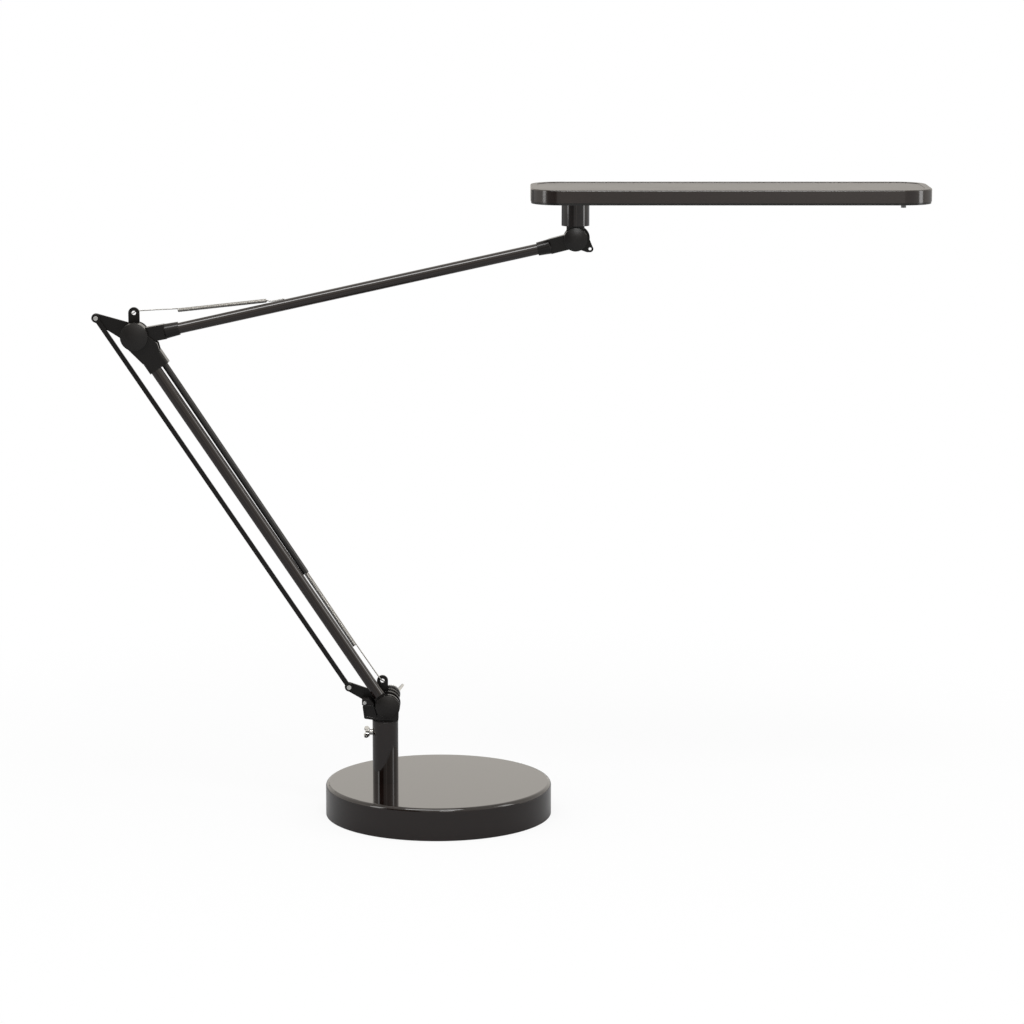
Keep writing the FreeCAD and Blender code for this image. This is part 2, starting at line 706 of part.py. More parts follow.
def make_swivel_spigot():
    """Grooved pin under the knuckle that turns in the post's bushing."""
    body = new_body("swivel_spigot")
    top = KNUCKLE_FOOT
    bottom = f"({top} - {{spigot_length}})"
    waist = "{spigot_radius} - {spigot_groove_depth}"
    profile = sketch_on(body, "XZ_Plane")
    low = f"({THUMB_SCREW_HEIGHT} - {{spigot_groove_width}} / 2)"
    high = f"({THUMB_SCREW_HEIGHT} + {{spigot_groove_width}} / 2)"
    polygon(profile, [
        ("0", bottom), ("{spigot_radius} - 1", bottom), ("{spigot_radius}", f"{bottom} + 1"),
        ("{spigot_radius}", low), (waist, f"{low} + {{spigot_groove_depth}}"),
        (waist, f"{high} - {{spigot_groove_depth}}"), ("{spigot_radius}", high),
        ("{spigot_radius}", top), ("0", top)])
    revolve(body, profile, "V_Axis")
    place(body, POST)


def make_arm_stop():
    """Buffer on the knuckle's bracket with a face for the leaning arm, held by a small screw."""
    front = f"(-{CHEEK} - 1.4)"
    back = f"({CHEEK} + 1.4)"
    body = new_body("arm_stop")
    layer(body, lambda sketch: polygon(sketch, [
        (f"{BLOCK_X} - 0.4", STOP_Z), (STOP_X, STOP_Z), (STOP_X, f"{STOP_Z} + 1.3"),
        (f"{STOP_X} - 3.8", f"{STOP_Z} + 5.2"), (f"{BLOCK_X} + 0.3", f"{STOP_Z} + 5.2"),
        (f"{BLOCK_X} - 0.4", f"{STOP_Z} + 4.5")]), front, back)
    spot = {"x": f"{BLOCK_X} + 2", "z": f"{STOP_Z} + 2.1"}
    cut_layer(body, lambda sketch: circle(sketch, "1.25", *spot.values()), front, "0")
    place(body, BASE_PIVOT)
    screw = fuse(cylinder("1.6", f"{front} - 1", front, axis="y", **spot),
                 cylinder("1.2", front, "-0.3", axis="y", **spot))
    place(keep(screw, "stop_screw"), BASE_PIVOT)


def make_base_joint():
    make_anchor_plate("base_anchor_plate", BASE_PIVOT, "{base_cheek_radius}", BASE_EAR)
    make_cap("base_pivot_cap", BASE_PIVOT, "{cap_radius}")
    behind = f"({PLATE_BACK} + {{washer_small_thickness}})"
    make_pivot_bolt("base_pivot_bolt", BASE_PIVOT, f"{behind} + 14")
    make_ring("base_pivot_washer", BASE_PIVOT, "{washer_small_radius}",
              "{pivot_bolt_radius} + {running_gap}", PLATE_BACK, behind)
    make_link_rivet("base_link_rivet", BASE_PIVOT)
    make_wing_nut(behind)


def make_wing_nut(seat):
    """Wing nut with round finger pads at the back of the base pivot, one wing up and to the right."""
    body = new_body("base_wing_nut")
    low = f"({seat} + {{body_gap}})"
    profile = sketch_on(body, "YZ_Plane")
    bore = "({pivot_bolt_radius} + {running_gap})"
    polygon(profile, [
        (low, bore), (low, "7.2"), (f"{low} + 1", "{wing_nut_radius} - 0.4"),
        (f"{low} + 1.6", "{wing_nut_radius}"), (f"{low} + 4.4", "{wing_nut_radius} - 0.6"),
        (f"{low} + 9.6", "6.6"), (f"{low} + 10", "6.2"), (f"{low} + 10", bore)])
    revolve(body, profile)
    half = "({wing_thickness} / 2)"
    for side in (1, -1):
        pad_x = f"{side} * {{wing_pad_offset}} * cos({{wing_pad_turn}})"
        pad_z = f"{side} * {{wing_pad_offset}} * sin({{wing_pad_turn}})"
        layer(body, lambda sketch: circle(sketch, "{wing_pad_radius}", pad_x, pad_z),
              f"{low} + 1.8", f"{low} + 3.6")
        sketch = sketch_on(body, "XY_Plane", f"-{half}")
        polygon(sketch, [
            (f"{side * 5}", f"{low} + 2"), (f"{side * 5}", f"{low} + 9"),
            (f"{side * 12}", f"{low} + 14"), (f"{side} * ({{wing_reach}} - 1.4)", f"{low} + 14.6"),
            (f"{side} * {{wing_reach}}", f"{low} + 11.6"), (f"{side * 14}", f"{low} + 4.8"),
            (f"{side * 9}", f"{low} + 2")])
        pad(body, sketch, "{wing_thickness}")
    round_edges(body, "0.5", lambda edge: runs_along(edge, V(0, 0, 1)) and abs(edge.CenterOfMass.x) > 13.9)
    cut_layer(body, lambda sketch: circle(sketch, bore), low, f"{low} + 10")
    place(body, BASE_PIVOT, "-46")


# ---- lower arm ----

LOWER_BORE = "({lower_tube_radius} - {arm_tube_wall})"
UPPER_BORE = "({upper_tube_radius} - {arm_tube_wall})"
FORK_MOUTH = "({elbow_throat} + {socket_length})"


def tube(radius, bore, start, end):
    """Steel tube along the arm's own X axis."""
    return cut(cylinder(radius, start, end, axis="x"), cylinder(bore, start, end, axis="x"))


def make_lower_foot():
    """Tongue that turns in the base knuckle, with the plug that the tube is pushed over."""
    body = new_body("lower_arm_foot")
    start = "({base_cheek_radius} + 0.5)"
    pivot_at = f"(-{LOWER_SHIFT})"
    layer(body, lambda sketch: circle(sketch, "{base_foot_radius}", "0", pivot_at),
          f"-{TONGUE}", TONGUE)
    layer(body, lambda sketch: polygon(sketch, [
        ("0", "-{lower_tube_radius}"), (start, "-{lower_tube_radius}"),
        (start, "{lower_tube_radius}"), ("0", "{lower_tube_radius}")]), f"-{TONGUE}", TONGUE)
    profile = sketch_on(body, "XZ_Plane")
    end = f"({start} + 18)"
    polygon(profile, [(f"{start} - 6", "0"), (f"{start} - 6", LOWER_BORE), (f"{end} - 1", LOWER_BORE),
                      (end, f"{LOWER_BORE} - 1"), (end, "0")])
    revolve(body, profile)
    cut_layer(body, lambda sketch: circle(sketch, "{pivot_bolt_radius} + {running_gap}", "0", pivot_at),
              f"-{TONGUE}", TONGUE)
    place(body, LOWER_START, LOWER_TURN)


def make_lower_fork():
    """Fitting at the elbow: one socket for tube and spring sleeve, then two cheeks round the pivot."""
    body = new_body("lower_arm_fork")
    spring_side = "(-{fork_spring_side})"
    link_side = "{fork_link_side}"
    pivot_at = f"(-{LOWER_SHIFT})"
    socket_back = "({spring_depth_offset} + {sleeve_radius} + 0.9)"
    layer(body, lambda sketch: polygon(sketch, [
        (f"-{FORK_MOUTH}", spring_side), ("-{elbow_throat}", spring_side),
        ("-{elbow_throat}", link_side), (f"-{FORK_MOUTH}", link_side)]),
        f"-{FRONT_FACE}", socket_back)
    round_edges(body, "2.4", lambda edge: runs_along(edge, V(1, 0, 0)))
    cheeks = ((f"-{FRONT_FACE}", f"-{CHEEK}", "{elbow_radius}"),
              (CHEEK, REAR_FACE, "({elbow_radius} - 0.8)"))
    for low, high, radius in cheeks:
        layer(body, lambda sketch: circle(sketch, radius, "0", pivot_at), low, high)
        layer(body, lambda sketch: polygon(sketch, [
            ("-{elbow_throat} - 2", f"{spring_side} + 1.2"), ("-{fork_shoulder}", f"{spring_side} - 1.5"),
            (f"-{radius} * 0.5", f"{pivot_at} - {radius} * 0.86"),
            (f"-{radius} * 0.36", f"{pivot_at} + {radius} * 0.93"),
            ("-{elbow_throat} - 2", link_side)]), low, high)
    cut_layer(body, lambda sketch: circle(sketch, "{pivot_bolt_radius} + {running_gap}", "0", pivot_at),
              f"-{FRONT_FACE}", REAR_FACE)
    bores = (("{lower_tube_radius}", "0", "0"),
             ("{sleeve_radius} + {running_gap}", "{spring_depth_offset}",
              f"-{{spring_side_high}} - {LOWER_SHIFT}"))
    for radius, y, z in bores:
        sketch = sketch_on(body, "YZ_Plane", f"-{FORK_MOUTH}")
        circle(sketch, radius, y, z)
        pocket(body, sketch, "{socket_length} - 2")
    place(body, LOWER_END, LOWER_TURN)


SLEEVE_END = f"({{lower_arm_length}} - {FORK_MOUTH} + {{socket_length}} - 2)"
SLEEVE_LEAN = (f"(180 / pi * ({{spring_side_high}} - {{spring_side_low}})"
               f" / ({SLEEVE_END} - {{sleeve_start}}))")


def make_sleeve():
    """Sleeve beside the lower tube that the spring runs up into. It leans away from the tube."""
    reach = f"({SLEEVE_END} - {{sleeve_start}})"
    sleeve = cut(cylinder("{sleeve_radius}", "0", reach, axis="x"),
                 cylinder("{sleeve_radius} - {sleeve_wall}", "0", reach, axis="x"))
    low = beside(BASE_PIVOT, "{lower_arm_angle}", "{sleeve_start}", "-{spring_side_low}")
    place(keep(sleeve, "spring_sleeve"), (low[0], "{spring_depth_offset}", low[2]),
          f"{LOWER_TURN} + {SLEEVE_LEAN}")


# ---- springs ----

def arc_points(start, tangent, end):
    """Start, middle and end of the arc that leaves start along tangent, or of the line."""
    chord = end - start
    span = chord.Length
    along = tangent.dot(chord) / span
    side = tangent - chord * (along / span)
    if side.Length < 1e-7:
        return start, start + chord * 0.5, end
    turn = math.acos(max(-1.0, min(1.0, along)))
    middle = start + chord * 0.5 + side.normalize() * (0.5 * span * math.tan(turn / 2))
    return start, middle, end


def arc_edge(start, middle, end):
    straight = (end - start).cross(middle - start).Length < 1e-7
    return (Part.LineSegment(start, end) if straight else Part.Arc(start, middle, end)).toShape()


def biarc(start, leaving, end, arriving):
    """Two arcs that join two points with given directions and no kink."""
    gap = end - start
    reach = gap.dot(leaving + arriving)
    spread = 2 * (1 - leaving.dot(arriving))
    if spread < 1e-9:
        length = gap.dot(gap) / (2 * reach)
    else:
        length = (-reach + math.sqrt(reach * reach + spread * gap.dot(gap))) / spread
    joint = (start + leaving * length + end - arriving * length) * 0.5
    backwards = arc_points(end, arriving * -1, joint)
    return [arc_edge(*arc_points(start, leaving, joint)), arc_edge(*reversed(backwards))]


def coil_route(hook, tail, coil, axis_start, axis_end):
    """Points and directions of a spring: hook, straight lead, coil, straight lead, tail."""
    radius, turns, first, last = coil
    axis = (axis_end - axis_start).normalize()
    side = axis.cross(V(0, 1, 0)).normalize()
    up = side.cross(axis)
    lead = 2 * radius
    route = list(hook)
    route.append((axis_start, axis))
    route.append((axis_start + axis * (first - lead), axis))
    steps = 2 * turns
    rise = (last - first) / steps
    for step in range(steps + 1):
        angle = math.pi * step
        out = side * math.cos(angle) + up * math.sin(angle)
        round_way = up * math.cos(angle) - side * math.sin(angle)
        direction = (round_way * (math.pi * radius) + axis * rise).normalize()
        route.append((axis_start + axis * (first + rise * step) + out * radius, direction))
    route.append((axis_start + axis * (last + lead), axis))
    route.append((axis_end, axis))
    return route + list(tail)


def spring_solid(label, route, wire):
    """One unbroken six-sided wire swept along a route of lines and biarcs."""
    edges = []
    for (start, leaving), (end, arriving) in zip(route, route[1:]):
        straight = (end - start).normalize()
        if straight.cross(leaving).Length < 1e-6 and straight.cross(arriving).Length < 1e-6:
            edges.append(Part.LineSegment(start, end).toShape())
        else:
            edges.extend(biarc(start, leaving, end, arriving))
    path = Part.Wire(Part.__sortEdges__(edges))
    start, direction = route[0]
    across = direction.cross(V(0, 0, 1) if abs(direction.z) < 0.9 else V(1, 0, 0)).normalize()
    other = direction.cross(across)
    corners = [start + (across * math.cos(math.radians(60 * step))
                        + other * math.sin(math.radians(60 * step))) * (wire / 2)
               for step in range(6)]
    section = Part.makePolygon(corners + corners[:1])
    sweep = Part.BRepOffsetAPI.MakePipeShell(path)
    sweep.add(section)
    sweep.build()
    sweep.makeSolid()
    solid = sweep.shape()
    area = 1.5 * math.sqrt(3) * (wire / 2) ** 2
    print(f"{label}: volume {solid.Volume:.1f}, section times length {area * path.Length:.1f}")
    print(f"{label}: least gap to itself {least_gap(edges, wire):.2f} mm")
    piece = DOC.addObject("Part::Feature", label)
    piece.Shape = solid
    return keep(piece, label)


def least_gap(edges, wire):
    """Smallest distance between stretches of the wire that aren't neighbours along it."""
    points = []
    travelled = 0.0
    for edge in edges:
        for point in edge.discretize(5)[:-1]:
            if points:
                travelled += (point - points[-1][0]).Length
            points.append((point, travelled))
    least = math.inf
    for index, (point, place_on_wire) in enumerate(points):
        for other, other_place in points[index + 1:index + 90]:
            if other_place - place_on_wire > 4 * wire:
                least = min(least, (point - other).Length - wire)
    return least


def hook_points(ear, angle, ends):
    """The straight end of a spring through an ear hole, between two positions along Y."""
    lean = math.radians(number(angle))
    x, z = (number(text) for text in ear)
    along = x * math.cos(lean) + z * math.sin(lean)
    across = z * math.cos(lean) - x * math.sin(lean)
    way = V(0, math.copysign(1, ends[1] - ends[0]), 0)
    return [(V(along, y, across), way) for y in ends]


def make_lower_spring():
    """Its hook comes through the base plate's ear from behind. Its far end is inside the sleeve."""
    hook = hook_points(BASE_EAR, "{lower_arm_angle}",
                       (number(PLATE_BACK) + 1.3, number(PLATE_FRONT) - 0.4))
    y = number("{spring_depth_offset}")
    lean = math.radians(number(SLEEVE_LEAN))
    start = V(hook[0][0].x + 4.5, y, 0)
    start.z = -number("{spring_side_low}") + (number("{sleeve_start}") - start.x) * math.tan(lean)
    end = V(number(SLEEVE_END) - number("{body_gap}"), y, 0)
    end.z = start.z - (end.x - start.x) * math.tan(lean)
    coil = (number("{lower_coil_radius}"), int(number("{lower_coil_turns}")),
            number("{lower_coil_start}") - start.x, number("{lower_coil_end}") - start.x)
    route = coil_route(hook, [], coil, start, end)
    place(spring_solid("lower_spring", route, number("{spring_wire}")), BASE_PIVOT, LOWER_TURN)


def make_upper_spring():
    """Its hook goes through the elbow plate's ear from in front. Its far end is in the tube's top."""
    hook = hook_points(ELBOW_EAR, "{upper_arm_angle}",
                       (number(PLATE_FRONT) - 1.3, number(PLATE_BACK) + 0.4))
    seat = V(number("{upper_anchor}"), 0, number("{upper_tube_radius}") - number("{upper_tube_drop}") - 1.2)
    start = V(hook[0][0].x + 5, number(PLATE_BACK) + 1, hook[0][0].z - 0.6)
    end = V(seat.x - 2.2, 0, seat.z + 3)
    coil = (number("{upper_coil_radius}"), int(number("{upper_coil_turns}")),
            number("{upper_coil_start}") - start.x, number("{upper_coil_end}") - start.x)
    down = V(0, 0, -1)
    tail = [(seat + V(0, 0, 0.9), down), (seat, down)]
    route = coil_route(hook, tail, coil, start, end)
    place(spring_solid("upper_spring", route, number("{spring_wire}")), ELBOW, UPPER_TURN)


# ---- link bar and elbow bracket ----

def make_link_bar():
    """Flat bar that keeps the elbow bracket level, with an eye at each end."""
    body = new_body("link_bar")
    back = f"({PLATE_FRONT} - {{body_gap}})"
    front = f"({back} - {{link_thickness}})"
    half = "({link_width} / 2)"
    layer(body, lambda sketch: polygon(sketch, [
        ("0", f"-{half}"), ("{lower_arm_length}", f"-{half}"),
        ("{lower_arm_length}", half), ("0", half)]), front, back)
    eyes = (("0", "{rivet_radius} + {running_gap}"), ("{lower_arm_length}", "{rivet_radius} + {body_gap}"))
    for x, hole in eyes:
        layer(body, lambda sketch: circle(sketch, "{link_eye_radius}", x), front, back)
        cut_layer(body, lambda sketch: circle(sketch, hole, x), front, back)
    spot = (f"{BASE_PIVOT[0]} + {{tip_x}}", "0", f"{BASE_PIVOT[2]} + {{tip_z}}")
    place(body, spot, LOWER_TURN)


def make_nut_and_bolt(prefix, pivot):
    """Washer, lock nut and bolt at the back of a joint."""
    seat = f"({PLATE_BACK} + {{washer_small_thickness}})"
    make_ring(f"{prefix}_washer", pivot, "{washer_small_radius}",
              "{pivot_bolt_radius} + {running_gap}", PLATE_BACK, seat)
    nut = cut(hexagon("{nut_flats}", seat, f"{seat} + {{nut_height}}"),
              cylinder("{pivot_bolt_radius} + {running_gap}", seat, f"{seat} + {{nut_height}}", axis="y"))
    place(keep(nut, f"{prefix}_nut"), pivot)
    make_pivot_bolt(f"{prefix}_bolt", pivot, f"{seat} + {{nut_height}} + 1")


def make_elbow():
    make_anchor_plate("elbow_anchor_plate", ELBOW, "{elbow_radius}", ELBOW_EAR)
    make_cap("elbow_cap", ELBOW, "{elbow_radius}")
    make_nut_and_bolt("elbow", ELBOW)
    make_link_rivet("elbow_link_rivet", ELBOW)


# ---- upper arm ----

def make_upper_fitting(label, spot, side, disc_radius, start, reach):
    """Tongue for a pivot on one side, round socket for the tube on the other."""
    body = new_body(label)
    mouth = f"({start} + {reach})"
    wide = "{upper_socket_radius}"
    half = "{tongue_half_width}"
    pivot_at = f"(-{UPPER_SHIFT})"
    layer(body, lambda sketch: circle(sketch, disc_radius, "0", pivot_at), f"-{TONGUE}", TONGUE)
    layer(body, lambda sketch: polygon(sketch, [
        ("0", f"-{half} + {{upper_tube_drop}} / 2"), (f"{side} * ({start} + 1)", f"-{wide}"),
        (f"{side} * ({start} + 1)", wide), ("0", f"{half} + {{upper_tube_drop}} / 2")]),
        f"-{TONGUE}", TONGUE)
    profile = sketch_on(body, "XZ_Plane")
    polygon(profile, [
        (f"{side} * {start}", "0"), (f"{side} * {start}", f"{wide} - 0.8"),
        (f"{side} * ({start} + 1.2)", wide), (f"{side} * {mouth}", "{upper_socket_mouth}"),
        (f"{side} * {mouth}", "{upper_tube_radius}"), (f"{side} * ({start} + 2)", "{upper_tube_radius}"),
        (f"{side} * ({start} + 2)", "0")])
    revolve(body, profile)
    cut_layer(body, lambda sketch: circle(sketch, "{pivot_bolt_radius} + {running_gap}", "0", pivot_at),
              f"-{TONGUE}", TONGUE)
    place(body, spot, UPPER_TURN)


ELBOW_SOCKET = "({elbow_throat} + 4)"


def make_arms():
    make_lower_foot()
    lower_tube = tube("{lower_tube_radius}", LOWER_BORE, "{base_cheek_radius} + 0.5",
                      "{lower_arm_length} - {elbow_throat} - 2")
    place(keep(lower_tube, "lower_arm_tube"), LOWER_START, LOWER_TURN)
    make_lower_fork()
    make_sleeve()
    make_upper_fitting("upper_arm_tongue", UPPER_START, 1, "{elbow_radius} - 0.4",
                       ELBOW_SOCKET, "{socket_length}")
    upper_tube = cut(tube("{upper_tube_radius}", UPPER_BORE, f"{ELBOW_SOCKET} + 2",
                          "{upper_arm_length} - {elbow_throat} - 2"),
                     cylinder("{spring_wire} / 2 + {body_gap}", "0", "{upper_tube_radius} + 1",
                              x="{upper_anchor}"))
    place(keep(upper_tube, "upper_arm_tube"), UPPER_START, UPPER_TURN)
    make_upper_fitting("upper_arm_head_end", UPPER_END, -1, "{head_tongue_radius}",
                       "{elbow_throat}", "{socket_length} - 1")


# ---- head joint ----

COLLAR_BORE = "({collar_radius} - {collar_wall})"
NECK_SHOULDER = "({collar_start} - {body_gap})"
LUG_X = "12.9"
LUG_Z = "-9.7"


def make_head_knuckle():
    """Fork round the upper arm's tongue, with the pin that the head swivels on."""
    body = new_body("head_knuckle")
    half = "({neck_width} / 2)"
    layer(body, lambda sketch: polygon(sketch, [
        (f"-{half}", "{head_tongue_radius} + 0.6"), (half, "{head_tongue_radius} + 0.6"),
        (half, NECK_SHOULDER), (f"-{half}", NECK_SHOULDER)]), f"-{FRONT_FACE}", REAR_FACE)
    for low, high in ((f"-{FRONT_FACE}", f"-{CHEEK}"), (CHEEK, REAR_FACE)):
        layer(body, lambda sketch: circle(sketch, "{head_cheek_radius}"), low, high)
        layer(body, lambda sketch: polygon(sketch, [
            (f"-{half}", "0"), (half, "0"), (half, NECK_SHOULDER), (f"-{half}", NECK_SHOULDER)]),
            low, high)
    cut_layer(body, lambda sketch: circle(sketch, "{head_tongue_radius} + {body_gap}"),
              f"-{CHEEK}", CHEEK)
    cut_layer(body, lambda sketch: circle(sketch, "{pivot_bolt_radius} + {running_gap}"),
              f"-{FRONT_FACE}", REAR_FACE)
    slab(body, lambda sketch: circle(sketch, "{swivel_pin_radius}"), NECK_SHOULDER,
         "{head_underside} - 3")
    place(body, HEAD_PIVOT)


def make_head_plate():
    """Stamped plate behind the head joint with a small drilled lug."""
    body = new_body("head_joint_plate")
    low, high = PLATE_FRONT, PLATE_BACK
    radius = "{head_cheek_radius}"
    layer(body, lambda sketch: circle(sketch, radius), low, high)
    layer(body, lambda sketch: circle(sketch, radius, "2.4"), low, high)
    layer(body, lambda sketch: circle(sketch, "2.9", LUG_X, LUG_Z), low, high)
    layer(body, lambda sketch: polygon(sketch, [
        (f"{LUG_X} - 2.6", f"{LUG_Z} - 2.9"), (LUG_X, f"{LUG_Z} - 2.9"),
        (f"{LUG_X} + 2.9", LUG_Z), (f"{radius} + 1", "2"), ("0", "0"), ("2", f"-{radius} + 0.4")]),
        low, high)
    cut_layer(body, lambda sketch: circle(sketch, "1.3", LUG_X, LUG_Z), low, high)
    cut_layer(body, lambda sketch: circle(sketch, "{pivot_bolt_radius} + {running_gap}"), low, high)
    place(body, HEAD_PIVOT)


def make_collar():
    """Collar under the head, its bushing and the clip that keeps it on the pin."""
    top = "{head_underside}"
    pin_fit = "{swivel_pin_radius} + {running_gap}"
    collar = cut(cylinder("{collar_radius}", "{collar_start}", top),
                 cylinder(COLLAR_BORE, "{collar_start}", top),
                 *(cylinder("1.25", f"{top} - 6", top, x=f"{side} * ({COLLAR_BORE} + {{collar_wall}} / 2)")
                   for side in (1, -1)))
    place(keep(collar, "head_collar"), HEAD_PIVOT)
    bushing_top = f"({top} - 5.4)"
    bushing = cut(cylinder(COLLAR_BORE, "{collar_start} + 0.2", bushing_top),
                  cylinder(pin_fit, "{collar_start} + 0.2", bushing_top))
    place(keep(bushing, "collar_bushing"), HEAD_PIVOT)
    clip = cut(cylinder("{swivel_pin_radius} + 2", f"{bushing_top} + {{body_gap}}",
                        f"{bushing_top} + {{body_gap}} + 1"),
               cylinder("{swivel_pin_radius}", f"{bushing_top} + {{body_gap}}",
                        f"{bushing_top} + {{body_gap}} + 1"))
    place(keep(clip, "swivel_clip"), HEAD_PIVOT)
    head_seat = f"({top} + {{bezel_thickness}})"
    screws = [fuse(cylinder("1.2", f"{top} - 5.5", head_seat, x=x),
                   cylinder("2.2", head_seat, f"{head_seat} + 1.2", x=x))
              for x in (f"{side} * ({COLLAR_BORE} + {{collar_wall}} / 2)" for side in (1, -1))]
    place(keep(group(*screws), "collar_screws"), HEAD_PIVOT)


# ---- head ----

HEAD_END = "({head_length} - {head_back})"
HALF_WIDTH = "({head_width} / 2)"
SHELL_CEILING = "({head_thickness} - {head_wall})"
OPENING_START = "({collar_radius} + 8)"
OPENING_END = f"({HEAD_END} - {{control_end}})"
OPENING_HALF = f"({HALF_WIDTH} - {{bezel_border}})"
SCREW_PLACES = [(x, f"{side} * ({HALF_WIDTH} - 15)")
                for x in ("-{head_back} + 14", f"{HEAD_END} - 14") for side in (1, -1)]
SPREADER_BOTTOM = f"({SHELL_CEILING} - {{spreader_thickness}})"
BOARD_BOTTOM = f"({SPREADER_BOTTOM} - {{board_thickness}})"
BUTTON_X = f"({HEAD_END} - {{button_setback}})"
BUTTON_Y = f"({{button_side}} - {HALF_WIDTH})"
CONTROL_BOARD_BOTTOM = f"({SHELL_CEILING} - {{board_thickness}})"


def head_outline(inset, radius):
    """The head's rounded outline, moved in by inset."""
    return lambda sketch: rounded_rectangle(
        sketch, (f"-{{head_back}} + {inset}", f"-{HALF_WIDTH} + {inset}"),
        (f"{HEAD_END} - {inset}", f"{HALF_WIDTH} - {inset}"), radius)


def block(x0, x1, y0, y1, z0, z1):
    item = DOC.addObject("Part::Box", "block")
    bind(item, Length=f"({x1}) - ({x0})", Width=f"({y1}) - ({y0})", Height=f"({z1}) - ({z0})",
         Placement__Base__x=x0, Placement__Base__y=y0, Placement__Base__z=z0)
    return item


def make_head_shell():
    """Flat top cover with a sunk panel, thin walls and four screw bosses."""
    body = new_body("head_shell")
    slab(body, head_outline("0", "{head_corner}"), "{bezel_thickness}", "{head_thickness}")
    top = number("{head_thickness}")
    round_edges(body, "{head_edge}", lambda edge: edge.BoundBox.ZMin > top - 0.01)
    cut_slab(body, head_outline("{head_wall}", "{head_corner} - {head_wall}"),
             "{bezel_thickness}", SHELL_CEILING)
    cut_slab(body, head_outline("{panel_inset}", "{head_corner} - {panel_inset}"),
             "{head_thickness} - {panel_depth}", "{head_thickness}")
    for x, y in SCREW_PLACES:
        slab(body, lambda sketch: circle(sketch, "{head_screw_radius} + 1.8", x, y),
             "{bezel_thickness}", f"{SHELL_CEILING} + 0.2")
        cut_slab(body, lambda sketch: circle(sketch, "{head_screw_radius} + {running_gap}", x, y),
                 "{bezel_thickness}", f"{SHELL_CEILING} - 1.5")
    place(body, HEAD_BOTTOM)


def make_bezel():
    """Frame under the head that holds the diffuser and guides the push button."""
    body = new_body("head_bezel")
    slab(body, head_outline("{bezel_setback}", "{head_corner} - {bezel_setback}"),
         "0", "{bezel_thickness}")
    cut_slab(body, lambda sketch: rounded_rectangle(
        sketch, (OPENING_START, f"-{OPENING_HALF}"), (OPENING_END, OPENING_HALF), "6"),
        "0", "{bezel_thickness}")
    cut_slab(body, lambda sketch: circle(sketch, "{button_radius} + {body_gap}", BUTTON_X, BUTTON_Y),
             "0", "{bezel_thickness}")
    for x, y in SCREW_PLACES:
        cut_slab(body, lambda sketch: circle(sketch, "{head_screw_head_radius} + {running_gap}", x, y),
                 "0", "1")
        cut_slab(body, lambda sketch: circle(sketch, "{head_screw_radius} + {running_gap}", x, y),
                 "1", "{bezel_thickness}")
    for side in (1, -1):
        x = f"{side} * ({COLLAR_BORE} + {{collar_wall}} / 2)"
        cut_slab(body, lambda sketch: circle(sketch, "1.25", x), "0", "{bezel_thickness}")
    place(body, HEAD_BOTTOM)


def make_light():
    """Diffuser, board with its lamps and the heat spreader above it."""
    body = new_body("diffuser")
    slab(body, lambda sketch: rounded_rectangle(
        sketch, (f"{OPENING_START} - 3", f"-{OPENING_HALF} - 3"),
        (f"{OPENING_END} + 3", f"{OPENING_HALF} + 3"), "9"),
        "{bezel_thickness}", "{bezel_thickness} + {diffuser_thickness}")
    place(body, HEAD_BOTTOM)
    low_x, high_x = f"{OPENING_START} + 4", f"{OPENING_END} - 4"
    half = f"({OPENING_HALF} - 3)"
    spreader = block(low_x, high_x, f"-{half}", half, SPREADER_BOTTOM, SHELL_CEILING)
    place(keep(group(spreader), "heat_spreader"), HEAD_BOTTOM)
    board = block(low_x, high_x, f"-{half}", half, BOARD_BOTTOM, SPREADER_BOTTOM)
    place(keep(group(board), "led_board"), HEAD_BOTTOM)
    lamps = []
    for row in range(int(number("{led_rows}"))):
        y = f"(2 * {half} * ({row} + 0.5) / {{led_rows}} - {half})"
        for column in range(int(number("{led_columns}"))):
            x = f"({low_x} + ({high_x} - ({low_x})) * ({column} + 0.5) / {{led_columns}})"
            lamps.append(block(f"{x} - {{led_length}} / 2", f"{x} + {{led_length}} / 2",
                               f"{y} - {{led_width}} / 2", f"{y} + {{led_width}} / 2",
                               f"{BOARD_BOTTOM} - {{led_height}}", BOARD_BOTTOM))
    place(keep(group(*lamps), "leds"), HEAD_BOTTOM)


def make_switch():
    """Push button at the far end of the head, its housing and the small board that carries it."""
    housing_bottom = "({bezel_thickness} + 2.4)"
    flange_bottom = "({bezel_thickness} + {body_gap})"
    spot = {"x": BUTTON_X, "y": BUTTON_Y}
    x, y = spot.values()
    housing = cut(block(f"{x} - 4", f"{x} + 4", f"{y} - 4", f"{y} + 4",
                        housing_bottom, CONTROL_BOARD_BOTTOM),
                  cylinder("1.6", housing_bottom, f"{housing_bottom} + {{button_travel}} + 1.4", **spot))
    place(keep(housing, "switch_housing"), HEAD_BOTTOM)
    board = block(f"{OPENING_END} + 5", f"{x} + 7", f"{y} - 5", "12",
                  CONTROL_BOARD_BOTTOM, SHELL_CEILING)
    place(keep(group(board), "control_board"), HEAD_BOTTOM)
    button = fuse(cylinder("{button_radius}", "-{button_reach}", flange_bottom, **spot),
                  cylinder("{button_radius} + 1.2", flange_bottom, f"{flange_bottom} + 0.6", **spot),
                  cylinder("1.3", flange_bottom, f"{housing_bottom} + 0.9", **spot))
    place(keep(button, "switch_button"), HEAD_BOTTOM)


def make_head_screws():
    screws = [fuse(cylinder("{head_screw_head_radius}", "0", "1", x=x, y=y),
                   cylinder("{head_screw_radius}", "1", "8", x=x, y=y)) for x, y in SCREW_PLACES]
    place(keep(group(*screws), "head_screws"), HEAD_BOTTOM)


# ---- building and writing ----

